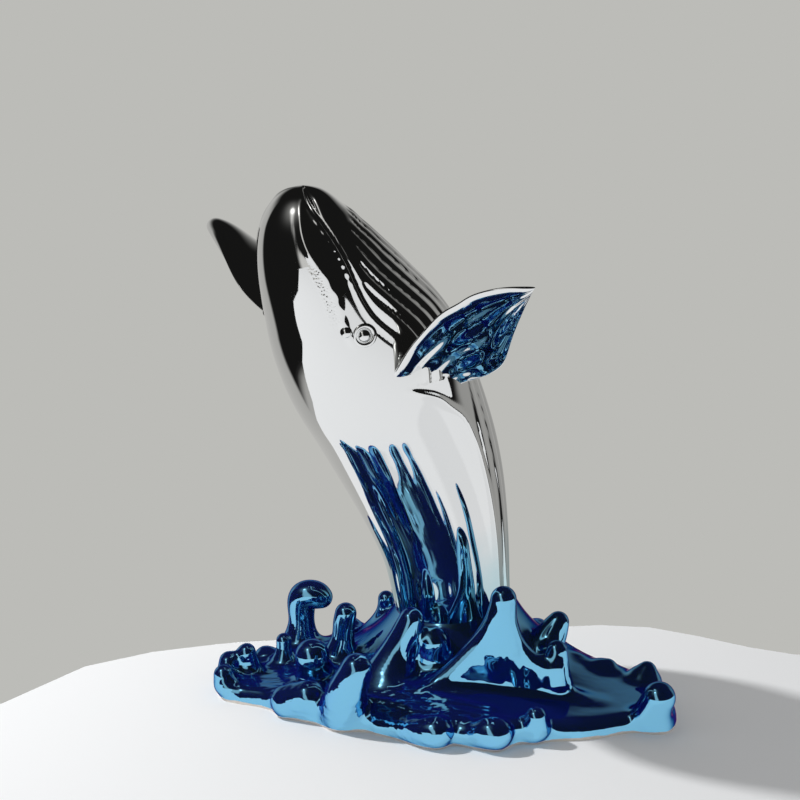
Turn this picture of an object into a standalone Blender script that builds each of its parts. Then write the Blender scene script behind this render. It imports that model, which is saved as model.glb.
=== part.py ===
"""Chrome-plated humpback whale breaching out of a blue splash, cast in one solid piece of resin.

The whale is a tube swept along a curved spine that lies in one upright plane. Rounded humps and grooves on the
tube make the lips, the throat pleats and the step along the flank. The splash is a smooth blend of a pool, a
mound round the whale and many round-ended fingers of water, taken where the blended distance is zero.
Lengths below are in millimetres, and the mesh is scaled to metres when it is made.
"""

import math

import bmesh
import bpy
import numpy as np

METRES_PER_MM = 0.001

# Overall size of the finished casting: along the splash, from the right fin's tip to the back rim, and up to the snout.
TOTAL_LENGTH = 253.2
TOTAL_DEPTH = 199.3
TOTAL_HEIGHT = 293.1

# Where the whale stands and which way its back leans, seen from above.
WHALE_FOOT_XY = (7.0, 10.0)
WHALE_YAW_DEG = 40.0

# Spine: how far it leans towards the whale's back, and its height above the table.
SPINE_LEAN = (-7.9, -4.1, 3.2, 8.3, 16.6, 27.8, 41.2, 56.0, 65.9, 76.0, 85.4, 93.5, 98.7, 104.0, 105.5)
SPINE_HEIGHT = (5.0, 20.3, 49.4, 79.0, 107.8, 135.6, 162.5, 188.5, 203.6, 218.5, 233.8, 247.6, 257.9, 273.5, 291.5)

# How far the body also sways to its front right at distances along the spine, and the direction of that sway.
SWAY_AT = (60.0, 108.0, 130.0, 150.0, 170.0, 188.0, 205.0, 225.0, 312.0)
SWAY = (0.0, 0.4, 2.0, 5.0, 9.4, 13.8, 15.8, 16.0, 16.0)
SWAY_WAY = (0.0, -0.98, 0.17)

# Body radius at distances along the spine.
GIRTH_AT = (0.0, 16.0, 36.0, 76.0, 116.0, 156.0, 176.0, 196.0, 216.0, 236.0, 256.0, 266.0, 276.0, 286.0, 294.0,
            302.0, 308.0, 311.6)
GIRTH_RADIUS = (27.0, 28.9, 31.4, 35.2, 41.3, 45.7, 47.0, 47.9, 46.6, 42.6, 37.0, 34.0, 30.8, 26.8, 22.8, 17.2, 11.0,
                0.0)
JAW_FULLNESS = 1.4

# Lines along the right side of the whale, mirrored on the left: angle from the middle of the back, in degrees.
MOUTH_AT = (200.0, 237.0, 248.0, 259.0, 272.0, 284.0, 292.0, 301.0, 307.0)
MOUTH_ANGLE = (90.0, 85.0, 81.0, 81.0, 84.0, 85.0, 82.0, 74.0, 68.0)
SNOUT_EDGE_AT = (236.0, 253.0, 263.0, 272.0, 280.0, 286.0, 295.0, 307.0)
SNOUT_EDGE_ANGLE = (57.0, 57.0, 60.0, 60.0, 57.0, 52.0, 48.0, 48.0)
FLANK_EDGE_AT = (0.0, 100.0, 146.0, 165.0, 182.0, 200.0)
FLANK_EDGE_ANGLE = (102.0, 101.0, 102.0, 100.0, 91.0, 84.0)

# Relief of the skin.
LIP_GROOVE_DEPTH = 1.5
LIP_GROOVE_WIDTH = 1.5
LIP_RIDGE_HEIGHT = 0.9
SNOUT_EDGE_HEIGHT = 0.8
FLANK_STEP = 1.2
PLEAT_HEIGHT = 1.5
PLEATS_ON_HEAD = 9
PLEATS_ON_BELLY = 5
PLEAT_SPACING_AT = (0.0, 165.0, 200.0, 225.0, 245.0, 267.0, 284.0, 297.0)
PLEAT_SPACING_DEG = (13.0, 13.0, 10.8, 9.6, 10.2, 11.2, 12.0, 14.0)
PLEATS_START = 304.0
PLEATS_START_BEND = 0.45
MOUTH_NOTCH_DEPTH = 3.0
MOUTH_NOTCH_WIDTH = 2.5
LIP_SETBACK = 2.6
LIP_WIDTH = 1.6
SNOUT_EDGE_WIDTH = 2.0
FLANK_EDGE_WIDTH = 2.2
FLANK_STEP_WIDTH = 3.0

# Distances along the spine between which each form fades in or out.
LIPS_FADE_IN = (226.0, 242.0)
SNOUT_EDGE_FADE_IN = (236.0, 246.0)
FLANK_FADE_OUT = (180.0, 196.0)
BELLY_TO_HEAD = (165.0, 200.0)
JAW_FADE_IN = (282.0, 298.0)
JAW_ANGLE = (88.0, 118.0)
MOUTH_NOTCH_FADE_IN = (296.0, 306.0)
PLEAT_RUN_OUT = 8.0

# Eyelids and brow lump on each side: distance along the spine, angle, radius, and how deep the centre is sunk.
EYELIDS = (243.0, 66.0, 6.6, 3.6)
BROW = (248.6, 55.0, 3.4, 1.2)

# Pectoral fins: leading edge and trailing edge points in world millimetres, root first.
RIGHT_FIN_LEADING = ((-37, -72, 189), (-29, -90, 200), (-21, -99, 215), (-13, -107, 227), (-5, -114, 237), (3, -119, 243),
                     (10, -123, 248), (22, -127, 252), (33, -129, 253), (40, -129, 253))
RIGHT_FIN_TRAILING = ((-14, -62, 176), (-7, -66, 183.5), (0, -62, 186), (8, -60, 189.5), (15, -62, 192), (22, -66, 196),
                      (28, -72, 203), (31, -92, 219.5), (35, -112, 237), (39, -127, 251))
LEFT_FIN_LEADING = ((-48, -12, 213), (-70, 4, 231), (-87, 13, 242), (-100, 17, 248), (-112, 19, 256), (-121, 22, 260),
                    (-126.5, 24, 260), (-129, 25, 256))
LEFT_FIN_TRAILING = ((-42, -4, 179), (-68, -56, 207), (-85, -50, 216.5), (-99, -39, 225), (-110, -31, 235.6),
                     (-117.5, -15, 245.4), (-124, 3, 251.3), (-128, 21, 254))
FIN_LEADING_RADIUS = 4.2
FIN_TRAILING_RADIUS = 1.5
FIN_HOLLOW = 2.0

# Outline of the pool on the table, anticlockwise from the left end, in world millimetres.
POOL_OUTLINE = ((-125, -3), (-123, -17), (-117, -25), (-100, -33), (-86, -46), (-62, -62), (-41, -69), (-24, -79),
                (-7, -90), (2, -85), (12, -89), (27, -92), (38, -84), (52, -81), (67, -80), (84, -75), (102, -68),
                (115, -70), (123, -56), (123, -34), (117, -12), (106, 2), (92, 10), (78, 19), (62, 34), (40, 50),
                (12, 62), (-20, 66), (-50, 61), (-75, 50), (-95, 33), (-113, 17))
RIM_HEIGHT = 9.0
RIM_ROUNDING = 11.0
MOUND_RISE = 41.0
MOUND_SPREAD = 23.0
MOUND_START = 32.0
BLEND = 9.0
SHEET_ROUNDING = 5.0

# Fingers and lobes of the splash: x, y, z and radius of each point from the foot to the tip.
FINGERS = {
    "left_rim_lobe": ((-120, -3, 9, 7), (-120, -4, 17, 5.5)),
    "left_corner_lobe": ((-121, -17, 9, 6.5), (-122, -17, 14, 5.5)),
    "left_stub": ((-108, -1, 9, 7), (-109, -2, 17, 5.3), (-110, -3, 22, 5)),
    "left_tall_curl": ((-82, 44, 8, 12), (-81.5, 42, 22, 7.8), (-81.5, 42, 32, 7.8), (-80, 41, 39.5, 8.4),
                       (-74, 40, 41, 8.2), (-70, 39, 40, 6.6)),
    "left_inner_stub": ((-90, 10, 9, 8), (-90, 10, 18, 4.8), (-90, 10, 24, 4.4)),
    "left_knob": ((-72, -14, 11, 10), (-73, -20, 21, 9.2), (-73, -25, 28, 9.4)),
    "left_loop_finger": ((-60, 0, 12, 12), (-57, -2, 28, 6.8), (-56, -3, 38, 6.2), (-55, -4, 45, 6.0)),
    "behind_left_finger": ((-36, 42, 14, 12), (-34, 38, 30, 5.4), (-33, 36, 40, 4.6)),
    "front_left_finger": ((-32, -36, 14, 17), (-27, -35, 32, 10), (-22, -35, 44, 8), (-19, -35, 52, 6.8)),
    "front_bulb": ((-8, -30, 28, 10), (-7, -34, 39, 8.4)),
    "front_left_knob": ((-56, -60, 9, 11), (-54, -65, 20, 11), (-50, -69, 31, 9.6), (-48, -70, 37, 8.4)),
    "front_left_lobe": ((-86, -44, 9, 9), (-74, -50, 14, 9)),
    "front_lobe": ((-35, -70, 5, 3.5), (-25, -77, 6.5, 4.8), (-13, -86, 8.5, 7.4), (-6, -89, 9.5, 8.2)),
    "front_bulb_lobe": ((5, -85, 6, 3.5), (14, -89, 8, 5.6), (21, -92, 10, 8.2), (25, -93, 10, 8.4)),
    "front_small_lobe": ((45, -82, 9, 8), (46, -85, 16, 5.5)),
    "right_corner_bulb": ((108, -64, 9, 9.5), (112, -68, 20, 8.8)),
    "crest": ((29, -48, 40, 8.4), (29, -48, 54, 7.8), (29.5, -48.5, 62, 7.4), (30, -49, 68.5, 7)),
    "crest_back": ((24, -20, 20, 16), (26, -32, 32, 11), (28, -42, 44, 7)),
    "crest_end_knob": ((59, -46, 22, 7), (59, -46, 32, 6.2), (59, -46, 38.5, 5.6)),
    "front_fold_long": ((-40, -46, 15, 4.5), (-24, -58, 14, 4), (-4, -70, 13, 3.6), (16, -79, 12, 3.6), (34, -83, 10, 4)),
    "front_fold_middle": ((-40, -58, 12, 4), (-24, -67, 12, 3.6), (-6, -77, 11.5, 3.6), (8, -83, 10, 4)),
    "front_fold_inner": ((-30, -46, 18, 4), (-14, -56, 16, 3.6), (2, -65, 14.5, 3.4), (22, -72, 13, 3.6)),
    "right_leaning_finger": ((47, -10, 16, 16), (54, -10, 27, 11), (59, -10, 36, 8.2), (62, -10, 42, 6)),
    "right_small_knob": ((56, -20, 20, 7), (57, -22, 29, 4.6)),
    "right_rim_low_lobe": ((72, 2, 9, 8), (73, 3, 13, 5)),
    "right_rim_peak": ((87, -4, 8, 10), (90, -4, 13, 5.2)),
    "right_end_peak": ((109, -14, 8, 10), (111, -14, 15, 5.4)),
    "back_right_finger": ((50, 34, 8, 10), (52, 37, 16, 6.2), (54, 40, 21, 5.4)),
    "back_tall_finger": ((22, 46, 12, 13), (24, 51, 26, 7), (26, 54, 34, 5.6)),
    "back_knob": ((4, 54, 10, 11), (2, 58, 21, 7.6)),
    "back_lobe": ((-18, 60, 9, 9), (-20, 63, 13, 7)),
    "back_left_lobe": ((-52, 54, 9, 9), (-54, 57, 15, 6.6)),
    "left_back_rim_lobe": ((-100, 22, 8, 8), (-101, 23, 10, 6)),
}

# Upright sheet of water under the crest: x, y, top height and half thickness from its left end to its right end.
CREST_SHEET = ((-36, -58, 10, 4), (-20, -53, 17, 4.5), (-6, -50, 27, 5), (7, -49, 40, 5), (18, -48, 53, 5.5),
               (27, -48, 62, 6), (36, -48, 55, 6), (41, -48, 46, 5.5), (48, -48, 38, 5.5), (56, -47, 33, 5.5),
               (63, -46, 28, 5.5), (69, -47, 17, 5), (80, -50, 9, 4.5))

# Mesh sizes.
BODY_RINGS = 150
BODY_SIDES = 128
FIN_RINGS = 26
FIN_SIDES = 28
SPLASH_CELL = 2.0
REMESH_CELL = 1.5
TRIANGLES = 11000
FOOT_CUT = 0.6

CHROME_COLOUR = (0.86, 0.87, 0.88, 1.0)
CHROME_ROUGHNESS = 0.04


def spline(knots: np.ndarray, values: np.ndarray, at: np.ndarray) -> np.ndarray:
    """Natural cubic spline through values at the knots, read at the given places. Beyond the ends it goes straight."""
    knots = np.asarray(knots, float)
    values = np.asarray(values, float).reshape(len(knots), -1)
    gap = np.diff(knots)
    rise = np.diff(values, axis=0) / gap[:, None]
    system = np.eye(len(knots))
    right = np.zeros_like(values)
    inner = np.arange(1, len(knots) - 1)
    system[inner, inner - 1] = gap[:-1]
    system[inner, inner] = 2 * (gap[:-1] + gap[1:])
    system[inner, inner + 1] = gap[1:]
    right[inner] = 6 * (rise[1:] - rise[:-1])
    bend = np.linalg.solve(system, right)
    held = np.clip(np.asarray(at, float), knots[0], knots[-1])
    span = np.clip(np.searchsorted(knots, held, side="right") - 1, 0, len(knots) - 2)
    width = gap[span][:, None]
    before = (knots[span + 1] - held)[:, None] / width
    after = 1 - before
    curve = before * values[span] + after * values[span + 1]
    curve += ((before**3 - before) * bend[span] + (after**3 - after) * bend[span + 1]) * width**2 / 6
    return curve


def bump(distance: np.ndarray, width: float) -> np.ndarray:
    """A smooth hump, 1 at distance 0 and almost 0 two widths away."""
    return np.exp(-((distance / width) ** 2))


def ramp(value: np.ndarray, start: float, end: float) -> np.ndarray:
    """0 before start, 1 after end, and a smooth rise between."""
    share = np.clip((value - start) / (end - start), 0, 1)
    return share * share * (3 - 2 * share)


class Whale:
    """The whale's body as positions for a distance along the spine and an angle from the middle of the back."""

    def __init__(self) -> None:
        yaw = math.radians(WHALE_YAW_DEG)
        self.back = np.array([-math.cos(yaw), -math.sin(yaw), 0.0])
        self.right = np.array([math.sin(yaw), -math.cos(yaw), 0.0])
        self.foot = np.array([*WHALE_FOOT_XY, 0.0])
        plan = np.column_stack([SPINE_LEAN, SPINE_HEIGHT])
        self.knots = np.concatenate([[0.0], np.cumsum(np.linalg.norm(np.diff(plan, axis=0), axis=1))])
        self.plan = plan
        self.length = GIRTH_AT[-1]

    def frame(self, along: np.ndarray) -> tuple[np.ndarray, np.ndarray]:
        """Spine point and direction to the back for each distance along the spine."""
        step = 0.5
        place = spline(self.knots, self.plan, along)
        ahead = spline(self.knots, self.plan, np.minimum(along + step, self.knots[-1]))
        behind = spline(self.knots, self.plan, np.maximum(np.minimum(along, self.knots[-1]) - step, 0.0))
        way = ahead - behind
        way /= np.linalg.norm(way, axis=1, keepdims=True)
        over = np.maximum(along - self.knots[-1], 0.0)[:, None]
        place = place + over * way
        up = np.array([0.0, 0.0, 1.0])
        centre = self.foot + place[:, :1] * self.back + place[:, 1:] * up
        centre = centre + spline(SWAY_AT, SWAY, along) * np.array(SWAY_WAY)
        normal = way[:, 1:] * self.back - way[:, :1] * up
        return centre, normal

    def girth(self, along: np.ndarray) -> np.ndarray:
        """Plain body radius. Its square is what the spline follows, which rounds the snout like a dome."""
        squared = spline(GIRTH_AT, np.array(GIRTH_RADIUS) ** 2, along)[:, 0]
        return np.sqrt(np.maximum(squared, 0))

    def relief(self, along: np.ndarray, angle: np.ndarray, radius: np.ndarray) -> np.ndarray:
        """Height of the lips, snout edges, flank step and pleats above the plain body."""
        side = np.degrees(np.abs(angle))
        arc = np.radians(1.0) * radius
        mouth = spline(MOUTH_AT, MOUTH_ANGLE, along[:, 0])
        snout = spline(SNOUT_EDGE_AT, SNOUT_EDGE_ANGLE, along[:, 0])
        flank = spline(FLANK_EDGE_AT, FLANK_EDGE_ANGLE, along[:, 0])
        on_head = ramp(along, *LIPS_FADE_IN)
        from_mouth = (side - mouth) * arc
        height = -LIP_GROOVE_DEPTH * bump(from_mouth, LIP_GROOVE_WIDTH) * on_head
        height += LIP_RIDGE_HEIGHT * bump(from_mouth + LIP_SETBACK, LIP_WIDTH) * on_head
        height += SNOUT_EDGE_HEIGHT * bump((side - snout) * arc, SNOUT_EDGE_WIDTH) * ramp(along, *SNOUT_EDGE_FADE_IN)
        fades = 1 - ramp(along, *FLANK_FADE_OUT)
        from_flank = (side - flank) * arc
        step = FLANK_STEP * ramp(from_flank, 0.0, FLANK_STEP_WIDTH)
        height += (LIP_RIDGE_HEIGHT * bump(from_flank, FLANK_EDGE_WIDTH) - step) * fades
        spacing = spline(PLEAT_SPACING_AT, PLEAT_SPACING_DEG, along[:, 0])
        number = (180.0 - side) / spacing
        wave = np.cos(2 * np.pi * number) / 2
        head_share = ramp(along, *BELLY_TO_HEAD)
        last = PLEATS_ON_BELLY + (PLEATS_ON_HEAD - PLEATS_ON_BELLY) * head_share
        room = ramp(from_mouth, LIP_WIDTH / 2, LIP_WIDTH * 4) * on_head + 1 - on_head
        inside = (1 - ramp(number, last + 0.1, last + 0.5)) * room
        starts = PLEATS_START - PLEATS_START_BEND * number**2
        height += PLEAT_HEIGHT * wave * inside * (1 - ramp(along, starts - PLEAT_RUN_OUT, starts))
        height += JAW_FULLNESS * ramp(side, *JAW_ANGLE) * ramp(along, *JAW_FADE_IN)
        height -= MOUTH_NOTCH_DEPTH * bump(from_mouth, MOUTH_NOTCH_WIDTH) * ramp(along, *MOUTH_NOTCH_FADE_IN)
        return height * ramp(radius, 1.0, 8.0)

    def skin(self, along: np.ndarray, angle: np.ndarray) -> np.ndarray:
        """Grid of points for every distance along the spine and every angle."""
        centre, normal = self.frame(along)
        radius = self.girth(along)[:, None] + 0 * angle[None, :]
        radius = radius + self.relief(along[:, None], angle[None, :] + 0 * radius, radius)
        out = np.cos(angle)[None, :, None] * normal[:, None] + np.sin(angle)[None, :, None] * self.right
        return centre[:, None] + radius[:, :, None] * out

    def point(self, along: float, angle_deg: float, sunk: float) -> np.ndarray:
        """A point under the skin at the given depth."""
        surface = self.skin(np.array([along]), np.array([math.radians(angle_deg)]))[0, 0]
        inward = self.frame(np.array([along]))[0][0] - surface
        return surface + inward * sunk / np.linalg.norm(inward)

    def mesh(self) -> tuple[np.ndarray, np.ndarray]:
        """Closed body: rings that crowd together towards the snout, with a point at each end."""
        share = np.linspace(0, 1, BODY_RINGS + 1)[:-1]
        along = self.length * (0.55 * share + 0.45 * np.sin(share * math.pi / 2))
        angle = np.linspace(-math.pi, math.pi, BODY_SIDES, endpoint=False)
        grid = self.skin(along, angle)
        ends = self.frame(np.array([0.0, self.length]))[0]
        return closed_tube(grid, ends[0], ends[1])


def closed_tube(grid: np.ndarray, first: np.ndarray, last: np.ndarray) -> tuple[np.ndarray, np.ndarray]:
    """Joins rings of points into a tube and closes each end with a fan to one point."""
    rings, sides = grid.shape[:2]
    row, column = np.meshgrid(np.arange(rings - 1), np.arange(sides), indexing="ij")
    after = (column + 1) % sides
    corner = np.stack([row * sides + column, row * sides + after, (row + 1) * sides + after, (row + 1) * sides + column])
    quads = corner.reshape(4, -1).T
    triangles = np.concatenate([quads[:, [0, 1, 2]], quads[:, [0, 2, 3]]])
    start, end = rings * sides, rings * sides + 1
    edge = np.arange(sides)
    beside = (edge + 1) % sides
    foot = np.column_stack([beside, edge, np.full(sides, start)])
    tip = np.column_stack([(rings - 1) * sides + edge, (rings - 1) * sides + beside, np.full(sides, end)])
    points = np.concatenate([grid.reshape(-1, 3), [first, last]])
    return points, np.concatenate([triangles, foot, tip])


def fin_mesh(leading: tuple, trailing: tuple) -> tuple[np.ndarray, np.ndarray]:
    """Closed fin between its two edges, thick in front, thin behind and hollow on one face."""
    knots = np.linspace(0, 1, len(leading))
    share = np.sin(np.linspace(0, 1, FIN_RINGS) * math.pi / 2)
    front = spline(knots, np.array(leading, float), share)
    back = spline(knots, np.array(trailing, float), share)
    middle = (front + back) / 2
    chord = back - front
    width = np.linalg.norm(chord, axis=1, keepdims=True)
    chord /= width
    span = np.gradient(middle, axis=0)
    thick = np.cross(span, chord)
    thick /= np.linalg.norm(thick, axis=1, keepdims=True)
    turn = np.linspace(0, 2 * math.pi, FIN_SIDES, endpoint=False)
    across = -np.cos(turn)[None, :] * width / 2
    place = 0.5 - 0.5 * np.cos(turn)
    tip = np.sqrt(np.clip(1.02 - share**6, 0, 1))[:, None]
    half = (FIN_LEADING_RADIUS + (FIN_TRAILING_RADIUS - FIN_LEADING_RADIUS) * place[None, :] ** 0.7) * tip
    rise = np.sin(turn)[None, :] * half
    bowl = FIN_HOLLOW * (1 - (2 * place[None, :] - 1) ** 2) * np.clip(width / 36, 0, 1)
    grid = middle[:, None] + across[:, :, None] * chord[:, None] + (rise + bowl)[:, :, None] * thick[:, None]
    return closed_tube(grid, grid[0].mean(0), grid[-1].mean(0))


def ball_mesh(centre: np.ndarray, radius: float) -> tuple[np.ndarray, np.ndarray]:
    """Closed ball."""
    tilt = np.linspace(0, math.pi, 11)[1:-1]
    turn = np.linspace(0, 2 * math.pi, 16, endpoint=False)
    ring = np.stack([np.sin(tilt)[:, None] * np.cos(turn), np.sin(tilt)[:, None] * np.sin(turn),
                     -np.cos(tilt)[:, None] + 0 * turn], axis=-1)
    pole = np.array([0.0, 0.0, radius])
    return closed_tube(centre + radius * ring, centre - pole, centre + pole)


def smooth_least(first: np.ndarray, second: np.ndarray, reach: float) -> np.ndarray:
    """The lesser of two fields, rounded where they are within reach of each other."""
    share = np.maximum(reach - np.abs(first - second), 0) / reach
    return np.minimum(first, second) - share**3 * reach / 6


def outline_distance(x: np.ndarray, y: np.ndarray) -> np.ndarray:
    """Signed distance in plan from the pool's smooth outline, negative inside."""
    ring = np.array(POOL_OUTLINE, float)
    count = len(ring)
    wrapped = np.concatenate([ring[-4:], ring, ring[:4]])
    knots = np.arange(-4, count + 4)
    loop = spline(knots, wrapped, np.linspace(0, count, 8 * count, endpoint=False))
    ahead = np.roll(loop, -1, axis=0)
    edge = ahead - loop
    flat = np.column_stack([x.ravel(), y.ravel()])
    nearest = np.full(len(flat), 1e9)
    crossings = np.zeros(len(flat), int)
    for start, way, end in zip(loop, edge, ahead):
        from_start = flat - start
        share = np.clip(from_start @ way / (way @ way), 0, 1)
        nearest = np.minimum(nearest, np.linalg.norm(from_start - share[:, None] * way, axis=1))
        spans = (start[1] > flat[:, 1]) != (end[1] > flat[:, 1])
        rise = way[1] if abs(way[1]) > 1e-9 else 1e-9
        crossings += spans & (flat[:, 0] < start[0] + (flat[:, 1] - start[1]) * way[0] / rise)
    return np.where(crossings % 2 == 1, -nearest, nearest).reshape(x.shape)


def water_height(x: np.ndarray, y: np.ndarray) -> np.ndarray:
    """Height of the pool, rising in a hollow sweep towards the whale."""
    away = np.hypot(x - WHALE_FOOT_XY[0], y - WHALE_FOOT_XY[1]) - MOUND_START
    return RIM_HEIGHT + MOUND_RISE * np.exp(-np.maximum(away, 0) / MOUND_SPREAD)


def sheet_distance(places: np.ndarray) -> np.ndarray:
    """Distance to the upright sheet, from its middle line in plan and from its top edge, rounded where they meet."""
    nodes = np.array(CREST_SHEET, float)
    dense = spline(np.linspace(0, 1, len(nodes)), nodes, np.linspace(0, 1, 4 * len(nodes)))
    nearest = np.full(places.shape[:-1], 1e9)
    below = np.zeros(places.shape[:-1])
    thick = np.zeros(places.shape[:-1])
    for start, end in zip(dense[:-1], dense[1:]):
        way = end[:2] - start[:2]
        share = np.clip((places[..., :2] - start[:2]) @ way / (way @ way), 0, 1)
        away = np.linalg.norm(places[..., :2] - start[:2] - share[..., None] * way, axis=-1)
        closer = away < nearest
        slope = (end[2] - start[2]) / math.hypot(*way)
        top = start[2] + share * (end[2] - start[2])
        below = np.where(closer, (top - places[..., 2]) / math.hypot(1.0, slope), below)
        thick = np.where(closer, start[3] + share * (end[3] - start[3]), thick)
        nearest = np.where(closer, away, nearest)
    return -smooth_least(thick - nearest, below, 2 * SHEET_ROUNDING)


def splash_field(x: np.ndarray, y: np.ndarray, z: np.ndarray) -> np.ndarray:
    """Blended distance to the splash on a grid of places, negative inside."""
    plan_x, plan_y = np.meshgrid(x, y, indexing="ij")
    outside = outline_distance(plan_x, plan_y)[:, :, None]
    above = z[None, None, :] - water_height(plan_x, plan_y)[:, :, None]
    field = -smooth_least(-outside + 0 * above, -above, RIM_ROUNDING)
    for rows in FINGERS.values():
        nodes = np.array(rows, float)
        at = np.linspace(0, 1, len(nodes))
        dense = spline(at, nodes, np.linspace(0, 1, 5 * len(nodes)))
        reach = dense[:, 3].max() + BLEND + 2
        low, high = dense[:, :3].min(0) - reach, dense[:, :3].max(0) + reach
        box = tuple(slice(*np.searchsorted(line, [low[k], high[k]])) for k, line in enumerate((x, y, z)))
        local = np.stack(np.meshgrid(x[box[0]], y[box[1]], z[box[2]], indexing="ij"), axis=-1)
        finger = np.full(local.shape[:3], 1e9)
        for start, end in zip(dense[:-1], dense[1:]):
            way = end[:3] - start[:3]
            share = np.clip((local - start[:3]) @ way / (way @ way), 0, 1)
            axis = start[:3] + share[..., None] * way
            radius = start[3] + share * (end[3] - start[3])
            finger = np.minimum(finger, np.linalg.norm(local - axis, axis=-1) - radius)
        field[box] = smooth_least(field[box], finger, BLEND)
    rows = np.array(CREST_SHEET, float)
    low = [*(rows[:, :2].min(0) - 22), z[0]]
    high = [*(rows[:, :2].max(0) + 22), rows[:, 2].max() + 16]
    box = tuple(slice(*np.searchsorted(line, [low[k], high[k]])) for k, line in enumerate((x, y, z)))
    local = np.stack(np.meshgrid(x[box[0]], y[box[1]], z[box[2]], indexing="ij"), axis=-1)
    field[box] = smooth_least(field[box], sheet_distance(local), BLEND)
    return np.maximum(field, -z[None, None, :])


def surface_of(field: np.ndarray, x: np.ndarray, y: np.ndarray, z: np.ndarray) -> tuple[np.ndarray, np.ndarray]:
    """Closed surface where the field is zero: one point in each cell that it crosses, joined across crossed edges."""
    inside = field < 0
    shape = np.array(field.shape) - 1
    corner = [np.array([i, j, k]) for i in (0, 1) for j in (0, 1) for k in (0, 1)]
    mixed = sum(inside[c[0]:c[0] + shape[0], c[1]:c[1] + shape[1], c[2]:c[2] + shape[2]].astype(int) for c in corner)
    cells = np.argwhere((mixed > 0) & (mixed < 8))
    number = np.full(shape, -1)
    number[tuple(cells.T)] = np.arange(len(cells))
    total = np.zeros((len(cells), 3))
    hits = np.zeros(len(cells))
    for one in corner:
        for axis in range(3):
            if one[axis]:
                continue
            other = one.copy()
            other[axis] = 1
            first = field[tuple((cells + one).T)]
            second = field[tuple((cells + other).T)]
            crossed = (first < 0) != (second < 0)
            share = np.where(crossed, first / np.where(crossed, first - second, 1), 0)
            place = cells + one + share[:, None] * (other - one)
            total += np.where(crossed[:, None], place, 0)
            hits += crossed
    place = total / hits[:, None]
    start = np.array([x[0], y[0], z[0]])
    step = np.array([x[1] - x[0], y[1] - y[0], z[1] - z[0]])
    points = start + place * step
    faces = []
    for axis in range(3):
        u, v = (axis + 1) % 3, (axis + 2) % 3
        low = [slice(1, -1)] * 3
        low[axis] = slice(0, -1)
        high = list(low)
        high[axis] = slice(1, None)
        leaves = inside[tuple(low)] & ~inside[tuple(high)]
        enters = ~inside[tuple(low)] & inside[tuple(high)]
        for crossed, turned in ((leaves, False), (enters, True)):
            edge = np.argwhere(crossed)
            edge[:, u] += 1
            edge[:, v] += 1
            ring = []
            for du, dv in ((-1, -1), (0, -1), (0, 0), (-1, 0)):
                cell = edge.copy()
                cell[:, u] += du
                cell[:, v] += dv
                ring.append(number[tuple(cell.T)])
            quad = np.column_stack(ring[::-1] if turned else ring)
            faces.append(quad[:, [0, 1, 2]])
            faces.append(quad[:, [0, 2, 3]])
    return points, np.concatenate(faces)


def splash_mesh() -> tuple[np.ndarray, np.ndarray]:
    """Closed splash on a regular grid of cells."""
    x = np.arange(-142.0, 140.0, SPLASH_CELL)
    y = np.arange(-112.0, 92.0, SPLASH_CELL)
    z = np.arange(-2.5 * SPLASH_CELL, 84.0, SPLASH_CELL)
    return surface_of(splash_field(x, y, z), x, y, z)


def add_object(name: str, points: np.ndarray, faces: np.ndarray) -> bpy.types.Object:
    """Mesh object in metres from points in millimetres."""
    mesh = bpy.data.meshes.new(name)
    mesh.from_pydata((points * METRES_PER_MM).tolist(), [], faces.tolist())
    obj = bpy.data.objects.new(name, mesh)
    bpy.context.scene.collection.objects.link(obj)
    return obj


def merged(pieces: list[tuple[np.ndarray, np.ndarray]]) -> tuple[np.ndarray, np.ndarray]:
    """Several meshes in one list of points and one list of faces."""
    starts = np.cumsum([0] + [len(points) for points, _ in pieces[:-1]])
    faces = [part + start for (_, part), start in zip(pieces, starts)]
    return np.concatenate([points for points, _ in pieces]), np.concatenate(faces)


def cut_flat(obj: bpy.types.Object, height: float) -> None:
    """Removes what is below a height, closes the cut with one flat face and sets it on the table."""
    shape = bmesh.new()
    shape.from_mesh(obj.data)
    everything = shape.verts[:] + shape.edges[:] + shape.faces[:]
    cut = bmesh.ops.bisect_plane(shape, geom=everything, plane_co=(0, 0, height), plane_no=(0, 0, 1), clear_inner=True)
    rim = [part for part in cut["geom_cut"] if isinstance(part, bmesh.types.BMEdge)]
    bmesh.ops.holes_fill(shape, edges=rim, sides=0)
    bmesh.ops.triangulate(shape, faces=shape.faces[:])
    bmesh.ops.recalc_face_normals(shape, faces=shape.faces[:])
    for vertex in shape.verts:
        vertex.co.z -= height
    shape.to_mesh(obj.data)
    shape.free()


def set_size(obj: bpy.types.Object) -> None:
    """Gives the mesh its exact overall size, with the middle of its footprint over the origin and its foot at 0."""
    points = np.array([vertex.co for vertex in obj.data.vertices]) / METRES_PER_MM
    low, high = points.min(0), points.max(0)
    size = np.array([TOTAL_LENGTH, TOTAL_DEPTH, TOTAL_HEIGHT])
    share = size / (high - low)
    middle = np.array([(low[0] + high[0]) / 2, (low[1] + high[1]) / 2, low[2]])
    placed = (points - middle) * share * METRES_PER_MM
    obj.data.vertices.foreach_set("co", placed.ravel())
    obj.data.update()
    print("shift of the footprint in mm:", np.round(-middle[:2], 3))
    print("stretch to the overall size:", np.round(share, 5))


def evaluate(obj: bpy.types.Object) -> None:
    """Replaces the object's mesh with the mesh that its modifiers make."""
    graph = bpy.context.evaluated_depsgraph_get()
    mesh = bpy.data.meshes.new_from_object(obj.evaluated_get(graph))
    obj.modifiers.clear()
    obj.data = mesh


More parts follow.
